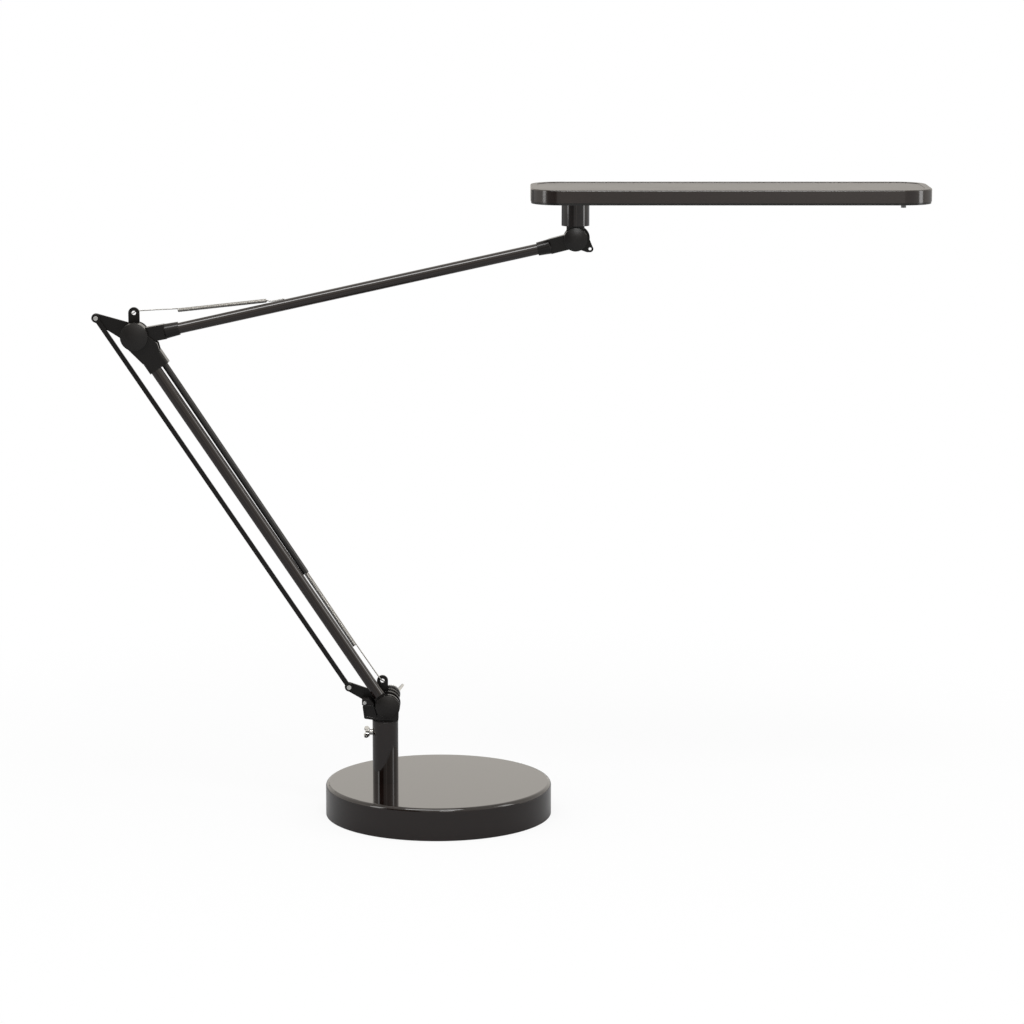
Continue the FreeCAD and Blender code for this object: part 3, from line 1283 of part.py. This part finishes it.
def build_lamp():
    make_foot_pad()
    make_bottom_plate()
    make_plate_screws()
    make_base_weight()
    make_base_shell()
    make_post()
    make_thumb_screw()
    make_swivel_spigot()
    make_base_knuckle()
    make_arm_stop()
    make_base_joint()
    make_arms()
    make_link_bar()
    make_elbow()
    make_head_knuckle()
    make_head_plate()
    make_cap("head_joint_cap", HEAD_PIVOT, "{head_cheek_radius}")
    make_nut_and_bolt("head_joint", HEAD_PIVOT)
    make_collar()
    make_head_shell()
    make_bezel()
    make_light()
    make_switch()
    make_head_screws()
    make_lower_spring()
    make_upper_spring()


build_lamp()
DOC.recompute()
for item in DOC.Objects:
    if "Invalid" in item.State or "Error" in item.State:
        raise RuntimeError(f"{item.Name} ({item.Label}) did not compute: {item.State}")
os.makedirs("parts", exist_ok=True)
for piece in PIECES:
    shape = piece.Shape
    if shape.isNull() or not shape.isValid() or not shape.Solids:
        raise RuntimeError(f"{piece.Label} has no valid solid")
    shape.exportStep(f"parts/{piece.Label}.step")
    print(f"{piece.Label}: {len(shape.Solids)} solid(s), {shape.Volume / 1000:.2f} cm3")
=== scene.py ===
import json
import math

import bmesh
import bpy
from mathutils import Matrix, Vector


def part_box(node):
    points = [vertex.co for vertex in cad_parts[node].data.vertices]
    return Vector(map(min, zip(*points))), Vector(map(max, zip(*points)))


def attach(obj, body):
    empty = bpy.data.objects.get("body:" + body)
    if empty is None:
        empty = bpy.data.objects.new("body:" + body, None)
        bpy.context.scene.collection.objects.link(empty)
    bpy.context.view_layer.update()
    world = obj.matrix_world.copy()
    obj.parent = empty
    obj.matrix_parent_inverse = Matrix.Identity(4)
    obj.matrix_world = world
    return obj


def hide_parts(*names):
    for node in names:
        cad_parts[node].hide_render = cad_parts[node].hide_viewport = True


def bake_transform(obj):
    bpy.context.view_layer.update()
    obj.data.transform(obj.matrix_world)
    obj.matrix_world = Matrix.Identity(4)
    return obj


# A spring-balanced desk lamp. Metres, +Z up, +X along the head, the camera looks along +Y.

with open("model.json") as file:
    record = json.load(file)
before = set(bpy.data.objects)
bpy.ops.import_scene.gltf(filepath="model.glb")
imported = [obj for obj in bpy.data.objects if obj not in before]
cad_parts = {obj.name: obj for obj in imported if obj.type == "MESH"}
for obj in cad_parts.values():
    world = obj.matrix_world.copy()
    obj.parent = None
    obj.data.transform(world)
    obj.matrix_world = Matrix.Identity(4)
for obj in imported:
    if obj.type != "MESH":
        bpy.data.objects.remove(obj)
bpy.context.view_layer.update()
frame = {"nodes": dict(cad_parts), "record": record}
NODES = frame["nodes"]
SCENE = bpy.context.scene
MM = 0.001
WHITE = (1.0, 1.0, 1.0)


# ---- shader nodes ----

class Value:
    """A socket of a node tree, with arithmetic."""

    def __init__(self, paint, socket):
        self.paint = paint
        self.socket = socket

    def calculate(self, operation, *others, clamp=False):
        return self.paint.node("ShaderNodeMath", {"operation": operation, "use_clamp": clamp},
                               dict(enumerate((self, *others))))

    def __add__(self, other):
        return self.calculate("ADD", other)

    def __radd__(self, other):
        return self.calculate("ADD", other)

    def __sub__(self, other):
        return self.calculate("SUBTRACT", other)

    def __rsub__(self, other):
        return (self * -1) + other

    def __mul__(self, other):
        return self.calculate("MULTIPLY", other)

    def __rmul__(self, other):
        return self.calculate("MULTIPLY", other)

    def clamped(self):
        return self.calculate("MULTIPLY", 1.0, clamp=True)

    def remap(self, low, high, to_low=0.0, to_high=1.0):
        """Maps low..high to to_low..to_high, with soft ends and no overshoot."""
        settings = {"interpolation_type": "SMOOTHSTEP"}
        return self.paint.node("ShaderNodeMapRange", settings, {
            "Value": self, "From Min": low, "From Max": high, "To Min": to_low, "To Max": to_high})


class Paint:
    """A material or the world under construction."""

    def __init__(self, owner):
        self.owner = owner
        owner.use_nodes = True
        self.tree = owner.node_tree
        self.tree.nodes.clear()

    def node(self, kind, settings=None, inputs=None, output=0):
        item = self.tree.nodes.new(kind)
        for name, value in (settings or {}).items():
            setattr(item, name, value)
        for key, value in (inputs or {}).items():
            self.feed(item.inputs[key], value)
        return Value(self, item.outputs[output])

    def feed(self, socket, value):
        if isinstance(value, Value):
            self.tree.links.new(value.socket, socket)
        elif isinstance(value, tuple) and len(value) == 3 and socket.type == "RGBA":
            socket.default_value = (*value, 1.0)
        else:
            socket.default_value = value

    def position(self):
        """The point in the piece's own frame, in metres."""
        return self.node("ShaderNodeTexCoord", output="Object")

    def noise(self, scale, detail=3.0, roughness=0.55, stretch=(1.0, 1.0, 1.0)):
        """Smooth noise about 0.5, with this many features to the metre."""
        where = self.node("ShaderNodeVectorMath", {"operation": "MULTIPLY"},
                          {0: self.position(), 1: stretch})
        return self.node("ShaderNodeTexNoise", None, {
            "Vector": where, "Scale": scale, "Detail": detail, "Roughness": roughness})

    def mix(self, factor, first, second):
        return self.node("ShaderNodeMix", {"data_type": "RGBA"},
                         {0: factor, 6: first, 7: second}, output=2)

    def facing_up(self):
        """1 on faces that look straight up, 0 on walls and below."""
        normal = self.node("ShaderNodeNewGeometry", output="Normal")
        return self.node("ShaderNodeSeparateXYZ", None, {0: normal}, output=2)

    def edges(self, radius):
        """0 on open faces, 1 along sharp edges."""
        soft = self.node("ShaderNodeBevel", {"samples": 4}, {"Radius": radius})
        flat = self.node("ShaderNodeNewGeometry", output="Normal")
        alike = self.node("ShaderNodeVectorMath", {"operation": "DOT_PRODUCT"},
                          {0: soft, 1: flat}, output=1)
        return alike.remap(0.99, 0.80)

    def bump(self, height, distance, strength=1.0, bevel=0.0):
        inputs = {"Height": height, "Distance": distance, "Strength": strength}
        if bevel:
            inputs["Normal"] = self.node("ShaderNodeBevel", {"samples": 4}, {"Radius": bevel})
        return self.node("ShaderNodeBump", None, inputs)

    def finish(self, **inputs):
        """Puts the main shader on the surface. Words joined by _ name its inputs."""
        shader = self.node("ShaderNodeBsdfPrincipled", None,
                           {key.replace("_", " "): value for key, value in inputs.items()})
        self.put_on_surface(shader)
        return self.owner

    def put_on_surface(self, shader, kind="ShaderNodeOutputMaterial"):
        """Links a shader to the output of the material or the world."""
        out = self.tree.nodes.new(kind)
        self.tree.links.new(shader.socket, out.inputs["Surface"])


def new_paint(name):
    return Paint(bpy.data.materials.new(name))


# ---- materials of the lamp ----

DUST = (0.30, 0.29, 0.28)
BARE_EDGE = (0.16, 0.15, 0.14)


def lacquer(name, colour, roughness, ripple, dust, bevel, clear=0.0, top=0.0, shine=0.5):
    """Sprayed black paint with orange peel, a film of dust, worn edges and perhaps a clear coat.

    top is how much rougher the faces are that look up.
    """
    paint = new_paint(name)
    peel = paint.noise(650.0, detail=2.0)
    cloud = paint.noise(24.0, detail=4.0)
    specks = paint.noise(2600.0, detail=1.0).remap(0.72, 0.80)
    upper = paint.facing_up().remap(0.5, 1.0)
    lying = upper * cloud.remap(0.35, 0.75)
    wear = paint.edges(bevel) * paint.noise(300.0, detail=4.0).remap(0.52, 0.70)
    painted = paint.mix(lying * dust, colour, DUST)
    worn = paint.mix(wear * 0.5, painted, BARE_EDGE)
    return paint.finish(
        Base_Color=worn,
        Roughness=(cloud - 0.5) * 0.08 + upper * top + specks * 0.15 + roughness,
        Specular_IOR_Level=shine,
        Coat_Weight=clear,
        Coat_Roughness=0.06,
        Normal=paint.bump(peel, ripple, bevel=bevel))


def moulded(name, colour, roughness, grain, depth, shine=0.5):
    """Moulded plastic with a fine even grain."""
    paint = new_paint(name)
    fine = paint.noise(grain, detail=2.0)
    cloud = paint.noise(40.0, detail=3.0)
    handled = paint.edges(0.4 * MM) * 0.35
    shade = paint.mix(handled, colour, tuple(min(1.0, part * 2.2 + 0.01) for part in colour))
    return paint.finish(
        Base_Color=shade,
        Roughness=(cloud - 0.5) * 0.12 + (fine - 0.5) * 0.08 + roughness,
        Specular_IOR_Level=shine,
        Normal=paint.bump(fine, depth, bevel=0.25 * MM))


def bare_metal(name, colour, roughness, brushed, bevel, tint):
    """Plated or bare metal, with fine drawn scratches and a cloudy shine."""
    paint = new_paint(name)
    scratches = paint.noise(900.0, detail=3.0, stretch=brushed)
    cloud = paint.noise(55.0, detail=4.0)
    shade = paint.mix(cloud.remap(0.35, 0.75) * 0.35, colour, tint)
    return paint.finish(
        Base_Color=shade,
        Metallic=1.0,
        Roughness=(scratches - 0.5) * 0.16 + (cloud - 0.5) * 0.10 + roughness,
        Normal=paint.bump(scratches, 0.004 * MM, bevel=bevel))


def casting():
    """Rough cast iron with patches of rust."""
    paint = new_paint("cast_iron")
    sand = paint.noise(420.0, detail=5.0, roughness=0.7)
    rust = paint.noise(60.0, detail=5.0).remap(0.56, 0.74)
    return paint.finish(
        Base_Color=paint.mix(rust * 0.5, (0.055, 0.055, 0.058), (0.16, 0.075, 0.035)),
        Roughness=sand * 0.2 + 0.62,
        Normal=paint.bump(sand, 0.25 * MM, bevel=0.6 * MM))


def foam():
    """Black foam with open cells."""
    paint = new_paint("foam")
    cells = paint.node("ShaderNodeTexVoronoi", None, {"Vector": paint.position(), "Scale": 1600.0})
    return paint.finish(
        Base_Color=paint.mix(cells.remap(0.1, 0.6), (0.006, 0.006, 0.006), (0.028, 0.028, 0.028)),
        Roughness=0.95,
        Normal=paint.bump(cells, 0.12 * MM))


def opal():
    """Milky acrylic that spreads the light, matt outside."""
    paint = new_paint("opal_acrylic")
    grain = paint.noise(1500.0, detail=1.0)
    cloud = paint.noise(15.0, detail=2.0)
    return paint.finish(
        Base_Color=paint.mix(cloud * 0.4, (0.86, 0.86, 0.84), (0.80, 0.81, 0.80)),
        Roughness=grain * 0.1 + 0.32,
        Subsurface_Weight=0.2,
        Subsurface_Radius=(0.004, 0.004, 0.004),
        Normal=paint.bump(grain, 0.01 * MM))


def board_white():
    """White solder mask over faint tracks."""
    paint = new_paint("circuit_board")
    tracks = paint.node("ShaderNodeTexBrick", None, {
        "Vector": paint.position(), "Scale": 60.0, "Mortar Size": 0.03,
        "Color1": (0.78, 0.80, 0.78), "Color2": (0.74, 0.77, 0.74), "Mortar": (0.55, 0.60, 0.55)})
    return paint.finish(Base_Color=tracks, Roughness=paint.noise(80.0) * 0.1 + 0.35,
                        Normal=paint.bump(paint.noise(700.0), 0.01 * MM))


def phosphor():
    """The yellow face of an LED."""
    paint = new_paint("led_chip")
    cells = paint.noise(900.0)
    return paint.finish(Base_Color=paint.mix(cells, (0.85, 0.62, 0.10), (0.92, 0.78, 0.30)),
                        Roughness=cells * 0.1 + 0.2, Normal=paint.bump(cells, 0.01 * MM))


MATERIALS = {
    "foam": foam(),
    "black_sheet": lacquer("black_sheet", (0.0040, 0.0034, 0.0030), 0.30, 0.006 * MM, 0.01, 0.25 * MM,
                           shine=0.3),
    "zinc_steel": bare_metal("zinc_steel", (0.72, 0.72, 0.70), 0.32, (1, 1, 0.3), 0.2 * MM,
                             (0.58, 0.58, 0.59)),
    "cast_iron": casting(),
    "black_gloss": lacquer("black_gloss", (0.0060, 0.0028, 0.0020), 0.08, 0.004 * MM, 0.005, 0.35 * MM,
                           clear=0.4),
    "black_nylon": moulded("black_nylon", (0.006, 0.005, 0.005), 0.45, 1400.0, 0.02 * MM, shine=0.3),
    "chrome": bare_metal("chrome", (0.66, 0.66, 0.65), 0.14, (1, 1, 1), 0.3 * MM,
                         (0.56, 0.56, 0.56)),
    "black_satin": lacquer("black_satin", (0.0045, 0.0038, 0.0034), 0.22, 0.006 * MM, 0.01, 0.5 * MM,
                           shine=0.35),
    "black_cap": moulded("black_cap", (0.006, 0.005, 0.0045), 0.36, 1800.0, 0.01 * MM, shine=0.4),
    "black_sleeve": moulded("black_sleeve", (0.010, 0.0095, 0.009), 0.22, 900.0, 0.004 * MM),
    "spring_steel": bare_metal("spring_steel", (0.40, 0.39, 0.37), 0.34, (1, 1, 1), 0.0,
                               (0.27, 0.27, 0.26)),
    "head_gloss": lacquer("head_gloss", (0.0105, 0.0062, 0.0050), 0.13, 0.004 * MM, 0.012, 0.4 * MM,
                          top=0.18, shine=0.85),
    "head_bezel": moulded("head_bezel", (0.008, 0.008, 0.008), 0.25, 900.0, 0.004 * MM),
    "opal_acrylic": opal(),
    "aluminium": bare_metal("aluminium", (0.70, 0.71, 0.72), 0.34, (0.1, 1, 1), 0.2 * MM,
                            (0.60, 0.61, 0.62)),
    "circuit_board": board_white(),
    "led_chip": phosphor(),
    "grey_button": moulded("grey_button", (0.16, 0.16, 0.16), 0.40, 1500.0, 0.01 * MM),
}


def dress(piece, slot):
    """Gives a piece the material of one of the record's slots."""
    piece.data.materials.clear()
    piece.data.materials.append(MATERIALS[slot])


for row in frame["record"]["subparts"]:
    dress(NODES[row["node"]], row["material_slot"])


# ---- wire springs ----

PIVOTS = {joint["name"]: Vector(joint["pos_m"])
          for joint in frame["record"]["behaviour"]["joints"] if "pos_m" in joint}
BASE_PIVOT = PIVOTS["lower_arm_tilt"]
ELBOW = PIVOTS["upper_arm_tilt"]
HEAD_PIVOT = PIVOTS["head_tilt"]


class Arm:
    """Places beside an arm in millimetres: along it, behind its middle plane, above its pivot line."""

    def __init__(self, start, end):
        self.start = start
        self.along = (end - start).normalized()
        self.above = Vector((-self.along.z, 0.0, self.along.x))

    def at(self, along, back, above):
        return self.start + (self.along * along + Vector((0.0, back, 0.0)) + self.above * above) * MM


def smooth_path(points, steps=6):
    """A Catmull-Rom curve through the points."""
    ends = [points[0] * 2 - points[1], *points, points[-1] * 2 - points[-2]]
    path = []
    for before, start, end, after in zip(ends, ends[1:], ends[2:], ends[3:]):
        for step in range(steps):
            t = step / steps
            path.append(0.5 * (2 * start + (end - before) * t
                               + (2 * before - 5 * start + 4 * end - after) * t ** 2
                               + (3 * start - before - 3 * end + after) * t ** 3))
    return path + [points[-1]]


def coil_path(first, last, radius, turns, steps=12):
    """A close coil between two points on its axis, which ends on the axis.

    It starts above the axis, or below it where the radius is negative.
    """
    axis = (last - first).normalized()
    side = axis.cross(Vector((0.0, 1.0, 0.0))).normalized()
    other = axis.cross(side)
    path = []
    for step in range(turns * steps):
        angle = 2 * math.pi * step / steps
        swell = min(1.0, (turns * steps - step) / steps)
        out = side * math.cos(angle) + other * math.sin(angle)
        middle_point = first.lerp(last, step / (turns * steps))
        path.append(middle_point + out * radius * math.sin(swell * math.pi / 2))
    return path


def add_piece(name, form, slot, smooth=True):
    """Makes a scene object of a bmesh, with the material of a slot."""
    mesh = bpy.data.meshes.new(name)
    bmesh.ops.recalc_face_normals(form, faces=form.faces)
    form.to_mesh(mesh)
    form.free()
    for face in mesh.polygons:
        face.use_smooth = smooth
    piece = bpy.data.objects.new(name, mesh)
    SCENE.collection.objects.link(piece)
    dress(piece, slot)
    return piece


def bridge(form, rings):
    """Joins each ring of vertices to the next."""
    for ring, following in zip(rings, rings[1:]):
        count = len(ring)
        for index in range(count):
            form.faces.new((ring[index], ring[(index + 1) % count],
                            following[(index + 1) % count], following[index]))


def skin(form, rings):
    """Joins rings of vertices into a closed skin with flat ends."""
    bridge(form, rings)
    form.faces.new(rings[0])
    form.faces.new(rings[-1])


CUT_END = 0.8


def wire(name, path, radius, slot, sides=7):
    """Round wire along a path. Its section is carried along without twisting."""
    form = bmesh.new()
    rings = []
    across = None
    for index, point in enumerate(path):
        direction = (path[min(index + 1, len(path) - 1)] - path[max(index - 1, 0)]).normalized()
        if across is None:
            across = direction.orthogonal().normalized()
        across = (across - direction * across.dot(direction)).normalized()
        other = direction.cross(across)
        reach = radius * (CUT_END if index in (0, len(path) - 1) else 1.0)
        rings.append([form.verts.new(point + (across * math.cos(2 * math.pi * side / sides)
                                              + other * math.sin(2 * math.pi * side / sides)) * reach)
                      for side in range(sides)])
    skin(form, rings)
    return add_piece(name, form, slot)


LOWER_ARM = Arm(BASE_PIVOT, ELBOW)
UPPER_ARM = Arm(ELBOW, HEAD_PIVOT)


def build_lower_spring():
    """Hook through the base plate's ear, straight lead, then the close coil that enters the sleeve."""
    at = LOWER_ARM.at
    lead = [at(17.2, 10.5, -7.4), at(18.6, 10.6, -7.1), at(19.5, 9.6, -7.0), at(19.6, 8.0, -7.0),
            at(19.8, 6.3, -7.0), at(21.2, 4.9, -7.0), at(24.2, 4.0, -6.9), at(30.0, 3.7, -6.8),
            at(44.0, 3.7, -6.7), at(56.0, 3.7, -6.6)]
    first = at(60.0, 3.7, -5.0)
    last = at(150.0, 3.7, -5.67)
    coil = coil_path(first, last, radius=-1.6 * MM, turns=80)
    tail = [at(153.0, 3.7, -5.7), at(158.0, 3.7, -5.72)]
    path = smooth_path(lead) + coil + tail
    spring = wire("lower_balance_spring", path, radius=0.55 * MM, slot="spring_steel")
    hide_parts("lower_spring")
    tuple(at(20.5, 0.0, -7.0))
    tuple(at(42.0, 0.0, -7.0))
    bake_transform(spring)


def build_upper_spring():
    """Hook through the elbow plate's ear, straight lead behind it, coil, and tail into the tube."""
    at = UPPER_ARM.at
    lead = [at(0.6, 5.9, 19.3), at(1.8, 5.6, 19.1), at(2.7, 6.4, 19.05), at(2.8, 8.0, 19.05),
            at(3.0, 9.5, 19.2), at(4.4, 10.3, 19.6), at(8.0, 10.3, 19.5), at(22.0, 9.1, 17.4),
            at(37.0, 7.9, 15.0)]
    first = at(41.0, 7.6, 13.0)
    last = at(119.0, 0.8, 5.1)
    coil = coil_path(first, last, radius=1.35 * MM, turns=86)
    tail = [at(121.0, 0.5, 4.2), at(125.0, 0.2, 3.6), at(130.0, 0.0, 3.55), at(133.2, 0.0, 3.5),
            at(133.9, 0.0, 3.0), at(134.0, 0.0, 1.6)]
    path = smooth_path(lead) + coil + smooth_path(tail)
    spring = wire("upper_balance_spring", path, radius=0.45 * MM, slot="spring_steel")
    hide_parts("upper_spring")
    tuple(at(4.5, 0.0, 19.0))
    tuple(at(44.0, 0.0, 14.0))
    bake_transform(spring)


# ---- foam, bolts and nuts ----

def ring_about_z(form, radius, height, segments, wobble):
    """A ring about the Z axis. The wobble is a function of the angle and the height."""
    ring = []
    for step in range(segments):
        angle = 2 * math.pi * step / segments
        reach = radius + wobble(angle, height)
        ring.append(form.verts.new((math.cos(angle) * reach, math.sin(angle) * reach, height)))
    return ring


def ring_about_y(form, centre, back, reach, segments):
    """A ring about an axis along Y. The reach is a number, or a function of the angle."""
    ring = []
    for step in range(segments):
        angle = 2 * math.pi * step / segments
        radius = reach(angle) if callable(reach) else reach
        ring.append(form.verts.new((centre[0] + radius * math.cos(angle), back,
                                    centre[1] + radius * math.sin(angle))))
    return ring


PAD_SEGMENTS = 96
CUT_WAVE = 0.12 * MM
FLAT_GAP = 0.02 * MM


def foam_cut(angle, height):
    """How far the knife strayed inwards at the pad's rim."""
    return -CUT_WAVE * (1 + math.sin(7 * angle) * 0.5 + math.sin(17 * angle + 900 * height) * 0.5)


def build_foam_pad():
    """Cut foam disc under the base, a little pressed in at its rim."""
    low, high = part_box("foot_pad")
    radius = (high[0] - low[0]) / 2
    thick = high[2] - low[2]
    form = bmesh.new()
    profile = [(radius * 0.5, 0.0), (radius * 0.93, 0.0), (radius - 0.9 * MM, FLAT_GAP),
               (radius - 0.25 * MM, 0.4 * MM), (radius - 0.1 * MM, thick * 0.5),
               (radius - 0.5 * MM, thick - 0.35 * MM), (radius - 1.1 * MM, thick - FLAT_GAP),
               (radius * 0.9, thick - FLAT_GAP)]
    skin(form, [ring_about_z(form, reach, height, PAD_SEGMENTS, foam_cut) for reach, height in profile])
    pad = add_piece("base_foam_pad", form, "foam")
    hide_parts("foot_pad")
    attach(pad, "base")


def hexagon_reach(flats, angle):
    """How far a hexagon reaches at an angle."""
    sector = math.pi / 3
    return flats / 2 / math.cos((angle % sector) - sector / 2)


def middle(node):
    """Centre of a node in X and Z, and its front and back in Y."""
    low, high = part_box(node)
    return ((low[0] + high[0]) / 2, (low[2] + high[2]) / 2), low[1], high[1]


def put_in_place(form, name, node, body):
    """Makes a zinc fastener that stands for a node and rides on its body."""
    piece = add_piece(name, form, "zinc_steel", smooth=False)
    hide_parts(node)
    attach(piece, body)


SHANK = 4.0 * MM
PITCH = 1.25 * MM
THREAD_DEPTH = 0.55 * MM
THREADED = 12 * MM
THREAD_STOP = 0.9 * MM
ROWS_PER_TURN = 5
ROW_GAP = 0.01 * MM
END_CHAMFER = 0.8 * MM
BOLT_SEGMENTS = 48


def thread_reach(place):
    """The thread's section across the bolt at a place along it."""
    def reach(angle):
        turn = (place / PITCH - angle / (2 * math.pi)) % 1.0
        return SHANK - abs(turn - 0.5) * 2 * THREAD_DEPTH
    return reach


def build_bolt(node, body):
    """Round-headed bolt with a cut thread on its end and a chamfer."""
    centre, front, back = middle(node)
    low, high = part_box(node)
    head = (high[0] - low[0]) / 2
    under = front + 2.6 * MM
    rows = [(front, head - 0.4 * MM), (front + 0.3 * MM, head), (front + 2.4 * MM, head),
            (under, head - 0.2 * MM), (under, SHANK), (back - THREADED, SHANK)]
    place = back - THREADED
    while place < back - THREAD_STOP:
        rows.append((place + ROW_GAP, thread_reach(place)))
        place += PITCH / ROWS_PER_TURN
    rows += [(back - END_CHAMFER, SHANK - THREAD_DEPTH), (back, SHANK - 2 * THREAD_DEPTH)]
    form = bmesh.new()
    skin(form, [ring_about_y(form, centre, *row, BOLT_SEGMENTS) for row in rows])
    put_in_place(form, f"{node}_threaded", node, body)


NUT_FLATS = 13.0 * MM
NUT_BORE = 4.05 * MM
NUT_SEGMENTS = 72


def nut_side(angle):
    return hexagon_reach(NUT_FLATS, angle)


def nut_corner(angle):
    """The hexagon where the turned chamfer cuts its corners."""
    return min(hexagon_reach(NUT_FLATS, angle), NUT_FLATS / 2 + 0.35 * MM)


def build_lock_nut(node, body):
    """Hexagon nut with turned corners and a round collar that holds its locking ring."""
    centre, front, back = middle(node)
    rows = [(front, NUT_BORE), (front, nut_corner), (front + 0.55 * MM, nut_side),
            (back - 2.3 * MM, nut_side), (back - 1.75 * MM, nut_corner), (back - 1.7 * MM, 6.0 * MM),
            (back - 0.5 * MM, 5.8 * MM), (back - 0.05 * MM, 5.1 * MM), (back, 4.7 * MM),
            (back - 0.3 * MM, NUT_BORE)]
    form = bmesh.new()
    rings = [ring_about_y(form, centre, *row, NUT_SEGMENTS) for row in rows]
    bridge(form, rings + rings[:1])
    put_in_place(form, f"{node}_turned", node, body)


build_lower_spring()
build_upper_spring()
build_foam_pad()
build_bolt("base_pivot_bolt", "swivel")
build_bolt("elbow_bolt", "elbow_bracket")
build_bolt("head_joint_bolt", "head_knuckle")
build_lock_nut("elbow_nut", "elbow_bracket")
build_lock_nut("head_joint_nut", "head_knuckle")


# ---- floor, light and camera ----

def area_light(name, place, aim, size, power):
    """A softbox that points at its aim."""
    data = bpy.data.lights.new(name, "AREA")
    data.shape = "RECTANGLE"
    data.size, data.size_y = size
    data.energy = power
    lamp = bpy.data.objects.new(name, data)
    lamp.location = place
    lamp.rotation_euler = (Vector(aim) - Vector(place)).to_track_quat("-Z", "Y").to_euler()
    SCENE.collection.objects.link(lamp)


def seen_white(paint, mirrored):
    """Plain white to the camera and through clear parts, and another level where it is mirrored."""
    camera = paint.node("ShaderNodeLightPath", output="Is Camera Ray")
    clear = paint.node("ShaderNodeLightPath", output="Is Transmission Ray")
    glossy = paint.node("ShaderNodeLightPath", output="Is Glossy Ray")
    return camera.calculate("MAXIMUM", clear) + glossy * mirrored


FLOOR_REACH = 6.0
FLOOR_CLOTH = (0.86, 0.86, 0.86)
MIRRORED_CLOTH = (0.40, 0.40, 0.40)


def build_floor():
    """Pale cloth that keeps the lamp's shadow near it and fades to the plain background.

    What the lamp mirrors of it is darker, with a dark flag on the left as in the world.
    """
    mesh = bpy.data.meshes.new("floor")
    form = bmesh.new()
    bmesh.ops.create_grid(form, x_segments=1, y_segments=1, size=FLOOR_REACH)
    form.to_mesh(mesh)
    form.free()
    floor = bpy.data.objects.new("floor", mesh)
    SCENE.collection.objects.link(floor)
    paint = new_paint("floor")
    glossy = paint.node("ShaderNodeLightPath", output="Is Glossy Ray")
    shine = paint.node("ShaderNodeEmission", None, {"Color": WHITE, "Strength": 1.0})
    away = paint.node("ShaderNodeVectorMath", {"operation": "LENGTH"}, {0: paint.position()}, output=1)
    shade = paint.mix(glossy, FLOOR_CLOTH, MIRRORED_CLOTH)
    across = paint.node("ShaderNodeSeparateXYZ", None, {0: paint.position()}).calculate("DIVIDE", away)
    flag = across.remap(-0.20, -0.28) * across.remap(-0.86, -0.76)
    mirrored = away.remap(0.4, 1.8, 0.0, 0.4) * (1.0 - flag)
    cloth = paint.node("ShaderNodeBsdfDiffuse", None, {"Color": shade})
    paint.put_on_surface(paint.node("ShaderNodeMixShader", None, {
        0: seen_white(paint, mirrored) * away.remap(0.15, 0.9, 0.86, 1.0),
        1: cloth, 2: shine}))
    mesh.materials.append(paint.owner)


WARM_WHITE = (1.0, 0.955, 0.885)
SOFT_LIGHT = 0.55


def build_world():
    """White behind the lamp, and the room that it mirrors.

    The room is dim towards the camera, with a dark flag on the left and a narrow bright gap,
    and lighter at its sides and ceiling.
    """
    world = bpy.data.worlds.new("studio")
    paint = Paint(world)
    way = paint.node("ShaderNodeTexCoord", output="Generated")
    right, back, up = (paint.node("ShaderNodeSeparateXYZ", None, {0: way}, output=axis)
                       for axis in range(3))
    gap = right.remap(0.04, 0.09) * right.remap(0.24, 0.19)
    flag = right.remap(-0.24, -0.32) * right.remap(-0.86, -0.76)
    sides = right.remap(-0.76, -0.90) * 0.5 + right.remap(0.55, 0.90) * 0.35
    room = (gap * 0.4 + sides + up.remap(0.0, 0.45, 0.42, 0.85)) * (1.0 - flag * 0.9)
    behind = back.remap(-0.15, 0.10)
    mirrored = behind * up.remap(0.04, 0.16, 0.80, 1.0) + (1.0 - behind) * room
    ceiling = up.remap(0.30, 0.85)
    mirrored = mirrored * (1.0 - ceiling) + ceiling * 0.9
    shown = seen_white(paint, mirrored)
    # what falls on matt faces
    soft = 1.0 - seen_white(paint, 1.0).clamped()
    glossy = paint.node("ShaderNodeLightPath", output="Is Glossy Ray")
    background = paint.node("ShaderNodeBackground", None, {
        "Color": paint.mix(glossy, WHITE, WARM_WHITE), "Strength": shown + soft * SOFT_LIGHT})
    paint.put_on_surface(background, "ShaderNodeOutputWorld")
    SCENE.world = world


LENS = 125.4
SENSOR = 36.0
CAMERA_PLACE = (0.0653, -3.0834, 0.8096)
CAMERA_PITCH = 9.9


def build_camera():
    """Camera without roll, pitched a little down. Its frame is the photograph's."""
    data = bpy.data.cameras.new("camera")
    data.lens = LENS
    data.sensor_width = SENSOR
    camera = bpy.data.objects.new("camera", data)
    camera.location = CAMERA_PLACE
    camera.rotation_euler = (math.radians(90.0 - CAMERA_PITCH), 0.0, 0.0)
    SCENE.collection.objects.link(camera)
    SCENE.camera = camera


build_floor()
build_world()
build_camera()
# name, place, aim, width and height in metres, watts
SOFTBOXES = [
    ("top_softbox", (-0.1, -0.8, 1.9), (0.0, 0.0, 0.3), (1.5, 0.5), 18.0),
    ("key_softbox", (0.3, -1.6, 1.3), (0.0, 0.0, 0.4), (0.45, 0.3), 5.0),
    ("left_softbox", (-1.9, -0.9, 0.9), (0.0, 0.0, 0.3), (0.5, 1.2), 6.0),
    ("right_softbox", (1.9, -0.5, 0.9), (0.0, 0.0, 0.3), (0.5, 1.2), 6.0),
]
for softbox in SOFTBOXES:
    area_light(*softbox)
SCENE.view_settings.view_transform = "Standard"
